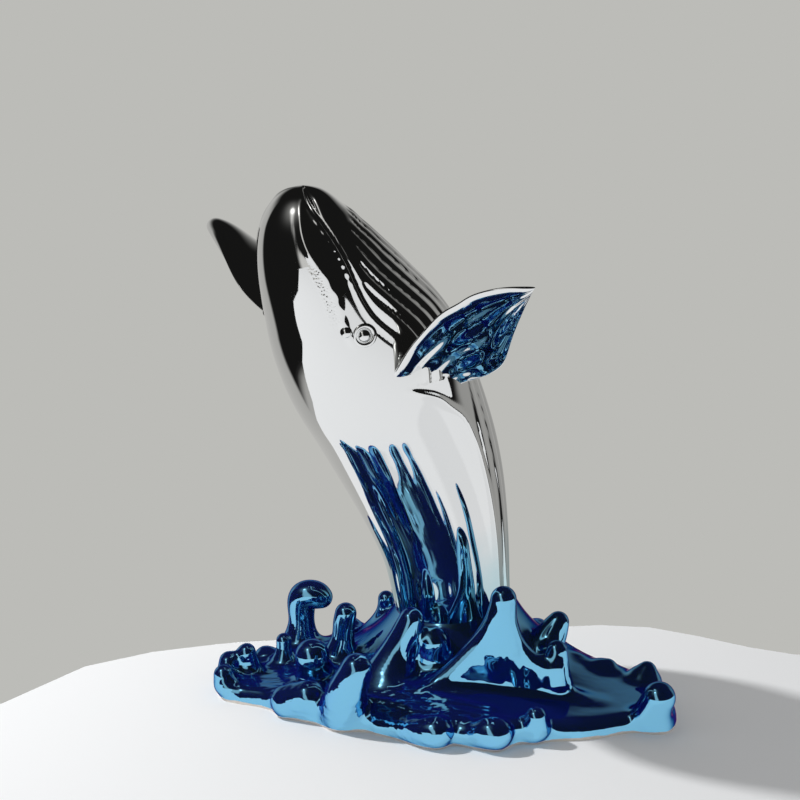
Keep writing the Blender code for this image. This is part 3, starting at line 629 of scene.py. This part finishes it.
@dataclass
class Eye:
    """One eye: a lid ring, the ball in it and the brow knob behind, each a closed round form sunk in the skin."""

    body: WhaleBody
    side: Side
    along: float = 243.0
    angle_deg: float = 66.0
    ring_radius: float = 4.9
    ring_thickness: float = 1.35
    ring_sunk: float = 0.35
    ring_bend_radius: float = 42.0
    ring_swell: float = 0.18
    ring_swell_turn: float = 2.2
    ball_radius: float = 3.7
    ball_sunk: float = 1.5
    brow_along: float = 248.6
    brow_angle_deg: float = 55.0
    brow_radius: float = 3.1
    brow_sunk: float = 0.9

    def ball(self, name: str, centre: Array, radius: float) -> bpy.types.Object:
        """Sphere from its two angles."""
        tilt = np.linspace(0, math.pi, 34)[1:-1]
        turn = np.linspace(0, 2 * math.pi, 56, endpoint=False)
        ring = np.stack([np.sin(tilt)[:, None] * np.cos(turn), np.sin(tilt)[:, None] * np.sin(turn),
                         -np.cos(tilt)[:, None] + 0 * turn], axis=-1)
        pole = np.array([0.0, 0.0, radius])
        return piece(name, *closed_tube(centre + radius * ring, centre - pole, centre + pole))

    def build(self) -> list[bpy.types.Object]:
        """Makes the lid ring as a torus that follows the skin, then the two balls."""
        word = self.side.name.lower()
        sign = float(self.side.value)
        point, forward, around, out = self.body.patch(self.along, sign * self.angle_deg)
        turn = np.linspace(0, 2 * math.pi, 120, endpoint=False)
        way = np.cos(turn)[:, None] * forward + np.sin(turn)[:, None] * around
        drop = (self.ring_radius * np.sin(turn)) ** 2 / (2 * self.ring_bend_radius) + self.ring_sunk
        centre = point + way * self.ring_radius - drop[:, None] * out
        roll = np.linspace(0, 2 * math.pi, 40, endpoint=False)
        swell = 1 + self.ring_swell * np.cos(turn - self.ring_swell_turn * sign)
        fat = self.ring_thickness * swell[:, None, None]
        tube = np.cos(roll)[None, :, None] * way[:, None] + np.sin(roll)[None, :, None] * out
        grid = centre[:, None] + fat * tube
        rings, sides = grid.shape[:2]
        row, column = np.meshgrid(np.arange(rings), np.arange(sides), indexing="ij")
        after, next_row = (column + 1) % sides, (row + 1) % rings
        quads = np.stack([row * sides + column, next_row * sides + column, next_row * sides + after,
                          row * sides + after]).reshape(4, -1).T
        flat = grid.reshape(-1, 3)
        if faces_in(flat, quads):
            quads = quads[:, ::-1]
        lid = piece(f"{word}_eyelid_ring", flat, quads.tolist())
        eyeball = self.ball(f"{word}_eyeball", point - self.ball_sunk * out, self.ball_radius)
        brow, _, _, brow_out = self.body.patch(self.brow_along, sign * self.brow_angle_deg)
        knob = self.ball(f"{word}_brow_knob", brow - self.brow_sunk * brow_out, self.brow_radius)
        return [lid, eyeball, knob]


RIGHT_FIN = PectoralFin(
    "right_pectoral_fin",
    ((-37, -72, 189), (-29, -90, 200), (-21, -99, 215), (-13, -107, 227), (-5, -114, 237), (3, -119, 243),
     (10, -123, 248), (22, -127, 252), (33, -129, 253), (40, -129, 253)),
    ((-14, -62, 176), (-7, -66, 183.5), (0, -62, 186), (8, -60, 189.5), (15, -62, 192), (22, -66, 196), (28, -72, 203),
     (31, -92, 219.5), (35, -112, 237), (39, -127, 251)),
)
LEFT_FIN = PectoralFin(
    "left_pectoral_fin",
    ((-48, -12, 213), (-70, 4, 231), (-87, 13, 242), (-100, 17, 248), (-112, 19, 256), (-121, 22, 260),
     (-126.5, 24, 260), (-129, 25, 256)),
    ((-42, -4, 179), (-68, -56, 207), (-85, -50, 216.5), (-99, -39, 225), (-110, -31, 235.6), (-117.5, -15, 245.4),
     (-124, 3, 251.3), (-128, 21, 254)),
)
# Fingers and lobes of the splash: x, y, z and radius of each point from the foot to the tip.
FINGERS = {
    "left_rim_lobe": ((-120, -3, 9, 7), (-120, -4, 17, 5.5)),
    "left_corner_lobe": ((-121, -17, 9, 6.5), (-122, -17, 14, 5.5)),
    "left_stub": ((-108, -1, 9, 7), (-109, -2, 17, 5.3), (-110, -3, 22, 5)),
    "left_tall_curl": ((-82, 44, 8, 12), (-81.5, 42, 22, 7.8), (-81.5, 42, 32, 7.8), (-80, 41, 39.5, 8.4),
                       (-74, 40, 41, 8.2), (-70, 39, 40, 6.6)),
    "left_inner_stub": ((-90, 10, 9, 8), (-90, 10, 18, 4.8), (-90, 10, 24, 4.4)),
    "left_knob": ((-72, -14, 11, 10), (-73, -20, 21, 9.2), (-73, -25, 28, 9.4)),
    "left_loop_finger": ((-60, 0, 12, 12), (-57, -2, 28, 6.8), (-56, -3, 38, 6.2), (-55, -4, 45, 6.0)),
    "behind_left_finger": ((-36, 42, 14, 12), (-34, 38, 30, 5.4), (-33, 36, 40, 4.6)),
    "front_left_finger": ((-32, -36, 14, 17), (-27, -35, 32, 10), (-22, -35, 44, 8), (-19, -35, 52, 6.8)),
    "front_bulb": ((-8, -30, 28, 10), (-7, -34, 39, 8.4)),
    "front_left_knob": ((-56, -60, 9, 11), (-54, -65, 20, 11), (-50, -69, 31, 9.6), (-48, -70, 37, 8.4)),
    "front_left_lobe": ((-86, -44, 9, 9), (-74, -50, 14, 9)),
    "front_lobe": ((-35, -70, 5, 3.5), (-25, -77, 6.5, 4.8), (-13, -86, 8.5, 7.4), (-6, -89, 9.5, 8.2)),
    "front_bulb_lobe": ((5, -85, 6, 3.5), (14, -89, 8, 5.6), (21, -92, 10, 8.2), (25, -93, 10, 8.4)),
    "front_small_lobe": ((45, -82, 9, 8), (46, -85, 16, 5.5)),
    "right_corner_bulb": ((108, -64, 9, 9.5), (112, -68, 20, 8.8)),
    "crest": ((29, -48, 40, 8.4), (29, -48, 54, 7.8), (29.5, -48.5, 62, 7.4), (30, -49, 68.5, 7)),
    "crest_back": ((24, -20, 20, 16), (26, -32, 32, 11), (28, -42, 44, 7)),
    "crest_end_knob": ((59, -46, 22, 7), (59, -46, 32, 6.2), (59, -46, 38.5, 5.6)),
    "front_fold_long": ((-40, -46, 15, 4.5), (-24, -58, 14, 4), (-4, -70, 13, 3.6), (16, -79, 12, 3.6),
                        (34, -83, 10, 4)),
    "front_fold_middle": ((-40, -58, 12, 4), (-24, -67, 12, 3.6), (-6, -77, 11.5, 3.6), (8, -83, 10, 4)),
    "front_fold_inner": ((-30, -46, 18, 4), (-14, -56, 16, 3.6), (2, -65, 14.5, 3.4), (22, -72, 13, 3.6)),
    "right_leaning_finger": ((47, -10, 16, 16), (54, -10, 27, 11), (59, -10, 36, 8.2), (62, -10, 42, 6)),
    "right_small_knob": ((56, -20, 20, 7), (57, -22, 29, 4.6)),
    "right_rim_low_lobe": ((72, 2, 9, 8), (73, 3, 13, 5)),
    "right_rim_peak": ((87, -4, 8, 10), (90, -4, 13, 5.2)),
    "right_end_peak": ((109, -14, 8, 10), (111, -14, 15, 5.4)),
    "back_right_finger": ((50, 34, 8, 10), (52, 37, 16, 6.2), (54, 40, 21, 5.4)),
    "back_tall_finger": ((22, 46, 12, 13), (24, 51, 26, 7), (26, 54, 34, 5.6)),
    "back_knob": ((4, 54, 10, 11), (2, 58, 21, 7.6)),
    "back_lobe": ((-18, 60, 9, 9), (-20, 63, 13, 7)),
    "back_left_lobe": ((-52, 54, 9, 9), (-54, 57, 15, 6.6)),
    "left_back_rim_lobe": ((-100, 22, 8, 8), (-101, 23, 10, 6)),
}

# Upright sheet of water under the crest: x, y, top height and half thickness from its left end to its right end.
CREST_SHEET = ((-36, -58, 10, 4), (-20, -53, 17, 4.5), (-6, -50, 27, 5), (7, -49, 40, 5), (18, -48, 53, 5.5),
               (27, -48, 62, 6), (36, -48, 55, 6), (41, -48, 46, 5.5), (48, -48, 38, 5.5), (56, -47, 33, 5.5),
               (63, -46, 28, 5.5), (69, -47, 17, 5), (80, -50, 9, 4.5))


@dataclass
class Splash:
    """The water: a pool, a mound round the whale and round-ended fingers, blended and taken where the field is 0."""

    outline: tuple = ((-125, -3), (-123, -17), (-117, -25), (-100, -33), (-86, -46), (-62, -62), (-41, -69), (-24, -79),
                      (-7, -90), (2, -85), (12, -89), (27, -92), (38, -84), (52, -81), (67, -80), (84, -75), (102, -68),
                      (115, -70), (123, -56), (123, -34), (117, -12), (106, 2), (92, 10), (78, 19), (62, 34), (40, 50),
                      (12, 62), (-20, 66), (-50, 61), (-75, 50), (-95, 33), (-113, 17))
    foot_xy: tuple = (7.0, 10.0)
    rim_height: float = 9.0
    rim_rounding: float = 11.0
    mound_rise: float = 41.0
    mound_spread: float = 23.0
    mound_start: float = 32.0
    blend: float = 9.0
    finger_margin: float = 2.0
    sheet_rounding: float = 5.0
    sheet_margin: float = 22.0
    sheet_headroom: float = 16.0
    sheet_bottom: float = -9.0
    cell: float = 1.1
    grid_low: tuple = (-141.0, -110.0)
    grid_high: tuple = (138.0, 88.0, 84.0)
    foot_cut: float = 0.6
    settling_rounds: int = 3
    slope_step: float = 0.05
    least_slope: float = 0.2
    longest_move: float = 1.0

    def edge_distance(self, x: Array, y: Array) -> Array:
        """Signed distance in plan from the smooth outline, negative inside: nearest segment, sign by crossings."""
        ring = np.array(self.outline, float)
        count = len(ring)
        wrapped = np.concatenate([ring[-4:], ring, ring[:4]])
        loop = spline(np.arange(-4, count + 4), wrapped, np.linspace(0, count, 8 * count, endpoint=False))
        ahead = np.roll(loop, -1, axis=0)
        flat = np.column_stack([x.ravel(), y.ravel()])
        nearest = np.full(len(flat), FAR_MM)
        crossings = np.zeros(len(flat), int)
        for start, way, end in zip(loop, ahead - loop, ahead):
            from_start = flat - start
            away = from_start - share_along(from_start, way)[:, None] * way
            nearest = np.minimum(nearest, np.linalg.norm(away, axis=1))
            spans = (start[1] > flat[:, 1]) != (end[1] > flat[:, 1])
            rise = way[1] if abs(way[1]) > 1e-9 else 1e-9
            crossings += spans & (flat[:, 0] < start[0] + (flat[:, 1] - start[1]) * way[0] / rise)
        return np.where(crossings % 2 == 1, -nearest, nearest).reshape(x.shape)

    def water_height(self, x: Array, y: Array) -> Array:
        """Height of the pool: the rim's height plus a mound that falls off as e to the minus distance."""
        away = np.hypot(x - self.foot_xy[0], y - self.foot_xy[1]) - self.mound_start
        return self.rim_height + self.mound_rise * np.exp(-np.maximum(away, 0) / self.mound_spread)

    def ground(self, edge: Array, height: Array, z: Array) -> Array:
        """Field of the pool: inside its outline and under its surface, with a rounded rim."""
        return -smooth_least(-edge, height - z, self.rim_rounding)

    def smooth_rows(self, rows: tuple, share: int) -> Array:
        """A table's rows joined by a smooth curve and read that many times as closely."""
        nodes = np.array(rows, float)
        return spline(np.linspace(0, 1, len(nodes)), nodes, np.linspace(0, 1, share * len(nodes)))

    def finger_distance(self, line: Array, places: Array) -> Array:
        """Distance from places to a finger: least over its segments of distance to the axis less the radius."""
        found = np.full(places.shape[:-1], FAR_MM)
        for start, end in zip(line[:-1], line[1:]):
            way = end[:3] - start[:3]
            share = share_along(places - start[:3], way)
            away = np.linalg.norm(places - (start[:3] + share[..., None] * way), axis=-1)
            found = np.minimum(found, away - start[3] - share * (end[3] - start[3]))
        return found

    def sheet_distance(self, places: Array) -> Array:
        """Distance to the upright sheet, from its middle line in plan and from its top edge, rounded between them."""
        line = self.smooth_rows(CREST_SHEET, 4)
        nearest = np.full(places.shape[:-1], FAR_MM)
        below = np.zeros(places.shape[:-1])
        thick = np.zeros(places.shape[:-1])
        for start, end in zip(line[:-1], line[1:]):
            way = end[:2] - start[:2]
            share = share_along(places[..., :2] - start[:2], way)
            away = np.linalg.norm(places[..., :2] - start[:2] - share[..., None] * way, axis=-1)
            closer = away < nearest
            slope = (end[2] - start[2]) / math.hypot(*way)
            top = start[2] + share * (end[2] - start[2])
            below = np.where(closer, (top - places[..., 2]) / math.hypot(1.0, slope), below)
            thick = np.where(closer, start[3] + share * (end[3] - start[3]), thick)
            nearest = np.where(closer, away, nearest)
        return -smooth_least(thick - nearest, below, 2 * self.sheet_rounding)

    def forms(self) -> list[tuple[Array, Array, Callable[[Array], Array]]]:
        """Each finger, then the sheet: two corners of the box that it can change, and its distance function."""
        made = []
        for rows in FINGERS.values():
            line = self.smooth_rows(rows, 5)
            reach = line[:, 3].max() + self.blend + self.finger_margin
            distance = partial(self.finger_distance, line)
            made.append((line[:, :3].min(0) - reach, line[:, :3].max(0) + reach, distance))
        rows = np.array(CREST_SHEET, float)
        low = np.array([*(rows[:, :2].min(0) - self.sheet_margin), self.sheet_bottom])
        high = np.array([*(rows[:, :2].max(0) + self.sheet_margin), rows[:, 2].max() + self.sheet_headroom])
        return [*made, (low, high, self.sheet_distance)]

    def field_on_grid(self, *axes: Array) -> Array:
        """The blended field on a box of grid places."""
        plan = np.meshgrid(axes[0], axes[1], indexing="ij")
        level = 0 * axes[2]
        edge = self.edge_distance(*plan)[:, :, None] + level
        height = self.water_height(*plan)[:, :, None] + level
        made = self.ground(edge, height, axes[2])
        for low, high, distance in self.forms():
            box = tuple(slice(*np.searchsorted(axis, [low[k], high[k]])) for k, axis in enumerate(axes))
            near = np.meshgrid(*(axis[part] for axis, part in zip(axes, box)), indexing="ij")
            made[box] = smooth_least(made[box], distance(np.stack(near, axis=-1)), self.blend)
        return made

    def field_at(self, places: Array) -> Array:
        """The same field at any places, one row each."""
        x, y, z = places.T
        made = self.ground(self.edge_distance(x, y), self.water_height(x, y), z)
        for low, high, distance in self.forms():
            near = np.all((places > low) & (places < high), axis=1)
            made[near] = smooth_least(made[near], distance(places[near]), self.blend)
        return made

    def surface(self, values: Array, start: Array) -> tuple[Array, Array]:
        """Quads where the field is zero: one point in each cell that it crosses, joined across crossed edges.

        Args:
            values: Field on the grid.
            start: Place of the grid's first corner.

        Returns:
            Points and quads that face out of the negative side.
        """
        inside = values < 0
        shape = np.array(values.shape) - 1
        corner = [np.array([i, j, k]) for i in (0, 1) for j in (0, 1) for k in (0, 1)]
        mixed = sum(inside[c[0]:c[0] + shape[0], c[1]:c[1] + shape[1], c[2]:c[2] + shape[2]].astype(np.int8)
                    for c in corner)
        cells = np.argwhere((mixed > 0) & (mixed < 8))
        number = np.full(shape, -1)
        number[tuple(cells.T)] = np.arange(len(cells))
        total = np.zeros((len(cells), 3))
        hits = np.zeros(len(cells))
        for one in corner:
            for axis in range(3):
                if one[axis]:
                    continue
                other = one.copy()
                other[axis] = 1
                first = values[tuple((cells + one).T)]
                second = values[tuple((cells + other).T)]
                crossed = (first < 0) != (second < 0)
                share = np.where(crossed, first / np.where(crossed, first - second, 1), 0)
                total += np.where(crossed[:, None], cells + one + share[:, None] * (other - one), 0)
                hits += crossed
        quads = []
        for axis in range(3):
            u, v = (axis + 1) % 3, (axis + 2) % 3
            low = [slice(1, -1)] * 3
            low[axis] = slice(0, -1)
            high = list(low)
            high[axis] = slice(1, None)
            for crossed, turned in ((inside[tuple(low)] & ~inside[tuple(high)], False),
                                    (~inside[tuple(low)] & inside[tuple(high)], True)):
                edge = np.argwhere(crossed)
                edge[:, u] += 1
                edge[:, v] += 1
                ring = []
                for du, dv in ((-1, -1), (0, -1), (0, 0), (-1, 0)):
                    cell = edge.copy()
                    cell[:, u] += du
                    cell[:, v] += dv
                    ring.append(number[tuple(cell.T)])
                quads.append(np.column_stack(ring[::-1] if turned else ring))
        return start + total / hits[:, None] * self.cell, np.concatenate(quads)

    def settle(self, points: Array, quads: Array) -> Array:
        """Spreads the points evenly and sets each exactly on the surface.

        Each round moves a point half of the way to the mean of its neighbours, then by the field's value over the
        square of its slope, against the slope.
        """
        first = quads.ravel()
        second = np.roll(quads, -1, axis=1).ravel()
        ends = np.concatenate([first, second])
        others = np.concatenate([second, first])
        count = np.bincount(ends, minlength=len(points))[:, None]
        held = points[:, 2] < self.foot_cut - self.cell
        for _ in range(self.settling_rounds):
            mean = np.column_stack([np.bincount(ends, points[others, k], len(points)) for k in range(3)]) / count
            points = np.where(held[:, None], points, (points + mean) / 2)
            here = self.field_at(points)
            aside = [self.field_at(points + step) - here for step in self.slope_step * np.eye(3)]
            slope = np.column_stack(aside) / self.slope_step
            steep = np.maximum((slope**2).sum(1), self.least_slope)
            move = np.clip((here / steep)[:, None] * slope, -self.longest_move, self.longest_move)
            points = np.where(held[:, None], points, points - move)
        return points

    def build(self) -> bpy.types.Object:
        """Makes the water and closes it with one flat foot."""
        low = np.array([*self.grid_low, -3 * self.cell])
        values = self.field_on_grid(*(np.arange(low[k], self.grid_high[k], self.cell) for k in range(3)))
        values[:, :, 0] = 1.0
        points, quads = self.surface(values, low)
        points = self.settle(points, quads)
        obj = piece("blue_splash", points, quads.tolist())
        shape = bmesh.new()
        shape.from_mesh(obj.data)
        everything = shape.verts[:] + shape.edges[:] + shape.faces[:]
        cut = bmesh.ops.bisect_plane(shape, geom=everything, plane_co=(0, 0, 0), plane_no=(0, 0, 1), clear_inner=True)
        rim = [part for part in cut["geom_cut"] if isinstance(part, bmesh.types.BMEdge)]
        foot = bmesh.ops.holes_fill(shape, edges=rim, sides=0)["faces"]
        for face in foot:
            face.smooth = False
        bmesh.ops.recalc_face_normals(shape, faces=shape.faces[:])
        for edge in rim:
            if edge.is_valid:
                edge.smooth = False
        shape.to_mesh(obj.data)
        shape.free()
        return obj
@dataclass
class Studio:
    """White table, pale wall, the dark room that the chrome mirrors, one key lamp and the camera.

    Tones are 1 for white, and angles are in degrees, with azimuth 0 towards the camera and 90 to the right. A pair of
    angles says where an edge starts and ends to fade.
    """
    table_edge: tuple = ((-700, -2600), (-800, -1270), (-440, -470), (-430, -290), (-340, -112), (-285, -62),
                         (-243, -26), (-205, 32), (-169, 56), (-133, 69), (-119, 73), (-60, 82), (0, 90), (50, 97),
                         (95, 103), (124, 99), (152, 83), (179, 64), (203, 52), (250, 44), (330, 60), (700, 110),
                         (1500, 150), (1500, -2600))
    table_height: float = 0.55
    wall: str = "#BCBCB8"
    soft_light: float = 0.42
    middle_height: float = 150.0
    surround_radius: float = 3300.0
    room_white: str = "#FFFEFA"
    room_dark: float = 0.008
    wall_tone_at: tuple = (-180, -150, -120, 110, 150, 180)
    wall_tone: tuple = (0.52, 0.44, 0.38, 0.28, 0.32, 0.52)
    wall_left: tuple = (-126.0, -118.0)
    wall_right: tuple = (108.0, 118.0)
    wall_top: tuple = (9.0, 36.0)
    floor_edge: tuple = (-42.0, -36.0)
    panel_tone: float = 0.55
    panel_lean_at: tuple = (-10, 5, 30, 55)
    panel_lean: tuple = (-16.0, -19.0, -31.0, -50.0)
    panel_side: tuple = (7.0, 14.0)
    panel_foot: tuple = (-12.0, -6.0)
    panel_top: tuple = (44.0, 60.0)
    lamp_azimuth: float = -50.0
    lamp_elevation: float = 50.0
    lamp_tones_and_widths: tuple = ((2.6, 3.6), (0.22, 15.0))
    key_size_m: float = 0.07
    key_watts: float = 12.5
    key_azimuth: float = -96.0
    key_elevation: float = 45.0
    key_distance: float = 1250.0
    aim: tuple = (-25.0, 0.0, 165.0)
    distance: float = 1300.0
    pitch_deg: float = 14.0
    focal_px: float = 2405.0
    image_px: float = 800.0
    sensor_mm: float = 36.0
    nearest_seen_m: float = 0.01

    def seen_from(self, middle: tuple, azimuth: float, elevation: float, away: float) -> Array:
        """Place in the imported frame, in metres, at an angle and a distance from a point of the drawing frame."""
        return (np.array(middle) + SHIFT_MM + away * direction(azimuth, elevation)) * METRES_PER_MM

    def build_table(self) -> None:
        """White table top that ends in front of the wall."""
        points = np.array([(x, y, self.table_height) for x, y in self.table_edge])
        obj = piece("studio_table", points, [list(range(len(points)))])
        if obj.data.polygons[0].normal.z < 0:
            obj.data.flip_normals()
        obj.data.materials.append(TablePaint().build())

    def tone(self, azimuth: Array, elevation: Array) -> Array:
        """How light the room is in each direction.

        The wall is a pale band behind, a little dimmer at its ends, and fades out high up. The rest of the room is
        dark, apart from one tall pale panel and one soft lamp in front on the left.
        """
        sides = np.maximum(1 - ramp(azimuth, *self.wall_left), ramp(azimuth, *self.wall_right))
        wall = np.maximum(sides, 1 - ramp(elevation, *self.floor_edge)) * (1 - ramp(elevation, *self.wall_top))
        wall *= np.interp(azimuth, self.wall_tone_at, self.wall_tone)
        lean = np.interp(elevation, self.panel_lean_at, self.panel_lean)
        panel = (1 - ramp(np.abs(azimuth - lean), *self.panel_side)) * ramp(elevation, *self.panel_foot)
        panel *= 1 - ramp(elevation, *self.panel_top)
        across = (azimuth - self.lamp_azimuth) * math.cos(math.radians(self.lamp_elevation))
        away = np.hypot(across, elevation - self.lamp_elevation)
        lamp = sum(tone * bump(away, width) for tone, width in self.lamp_tones_and_widths)
        return self.room_dark + wall + self.panel_tone * panel + lamp

    def build_surround(self) -> None:
        """Room that the chrome mirrors, on a sphere round the casting: radius times each direction."""
        azimuth = np.linspace(-180.0, 180.0, 241)[None, :-1]
        elevation = np.linspace(-89.0, 89.0, 120)[:, None]
        tone = self.tone(*np.broadcast_arrays(azimuth, elevation))
        middle = np.array([0.0, 0.0, self.middle_height])
        pole = np.array([0.0, 0.0, self.surround_radius])
        grid = middle + self.surround_radius * direction(azimuth, elevation)
        obj = piece("studio_surround", *closed_tube(grid, middle - pole, middle + pole))
        point_mask(obj, "tone", np.concatenate([tone.ravel(), [tone[0].mean(), tone[-1].mean()]]))
        material, tree, shader = new_material("painted_studio_room")
        tree.nodes.remove(shader)
        layer = add_node(tree, "ShaderNodeAttribute", {"attribute_name": "tone"})
        glow = add_node(tree, "ShaderNodeEmission", Color=linear(self.room_white), Strength=layer.outputs["Fac"])
        tree.links.new(glow.outputs[0], tree.nodes["Material Output"].inputs["Surface"])
        obj.data.materials.append(material)
        obj.visible_camera = False
        obj.visible_diffuse = False
        obj.visible_shadow = False

    def build_world(self) -> None:
        """Pale wall behind everything for the eye and for reflections, and even soft light for matt surfaces."""
        world = bpy.data.worlds.new("pale_wall_and_soft_light")
        bpy.context.scene.world = world
        world.use_nodes = True
        tree = world.node_tree
        tree.nodes.clear()
        ray = add_node(tree, "ShaderNodeLightPath")
        seen = ray.outputs["Is Camera Ray"]
        for kind in ("Is Glossy Ray", "Is Transmission Ray"):
            seen = maths(tree, "MAXIMUM", seen, ray.outputs[kind])
        light = add_node(tree, "ShaderNodeBackground", Color=(1, 1, 1, 1), Strength=self.soft_light)
        wall = add_node(tree, "ShaderNodeBackground", Color=linear(self.wall), Strength=1.0)
        mix = add_node(tree, "ShaderNodeMixShader", in0=seen, in1=light.outputs[0], in2=wall.outputs[0])
        add_node(tree, "ShaderNodeOutputWorld", Surface=mix.outputs[0])

    def build_lamp(self) -> None:
        """A small key lamp on the left, turned to the casting's middle, which throws the long shadow."""
        light = bpy.data.lights.new("key_from_left", "AREA")
        light.shape = "DISK"
        light.size = self.key_size_m
        light.energy = self.key_watts
        key = add_object("key_from_left", light)
        middle = (0.0, 0.0, self.middle_height)
        key.location = self.seen_from(middle, self.key_azimuth, self.key_elevation, self.key_distance)
        look = -direction(self.key_azimuth, self.key_elevation)
        key.rotation_euler = Vector(look).to_track_quat("-Z", "Y").to_euler()
        key.visible_glossy = False

    def build_camera(self) -> None:
        """Camera at the photograph's height, distance and lens, set back from its aim."""
        data = bpy.data.cameras.new("camera")
        data.sensor_width = self.sensor_mm
        data.lens = self.focal_px * self.sensor_mm / self.image_px
        data.clip_start = self.nearest_seen_m
        camera = add_object("camera", data)
        camera.location = self.seen_from(self.aim, 0.0, self.pitch_deg, self.distance)
        camera.rotation_euler = (math.pi / 2 - math.radians(self.pitch_deg), 0.0, 0.0)
        bpy.context.scene.camera = camera

    def build(self) -> None:
        """Makes the whole studio."""
        self.build_camera()
        self.build_world()
        self.build_table()
        self.build_surround()
        self.build_lamp()
        bpy.context.scene.view_settings.view_transform = "Standard"
def adopt(obj: bpy.types.Object, finish: bpy.types.Material) -> None:
    """Dresses a piece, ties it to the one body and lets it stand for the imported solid."""
    obj.data.materials.clear()
    obj.data.materials.append(finish)
    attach(obj, "root")
    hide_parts("whale_sculpture")
    LOG.info("%s: %d faces", obj.name, len(obj.data.polygons))


def main() -> None:
    """Builds the whale, its fins and eyes, the splash and the studio."""
    logging.basicConfig(level=logging.INFO, format="%(name)s %(message)s")
    chrome = MirrorChromePlating().build()
    lacquer = BlueChromeLacquer().build()
    body = WhaleBody()
    adopt(body.build(), chrome)
    for fin in (RIGHT_FIN, LEFT_FIN):
        adopt(fin.build(), chrome)
    for side in Side:
        for part in Eye(body, side).build():
            adopt(part, chrome)
    adopt(Splash().build(), lacquer)
    Studio().build()


if __name__ == "__main__":
    main()
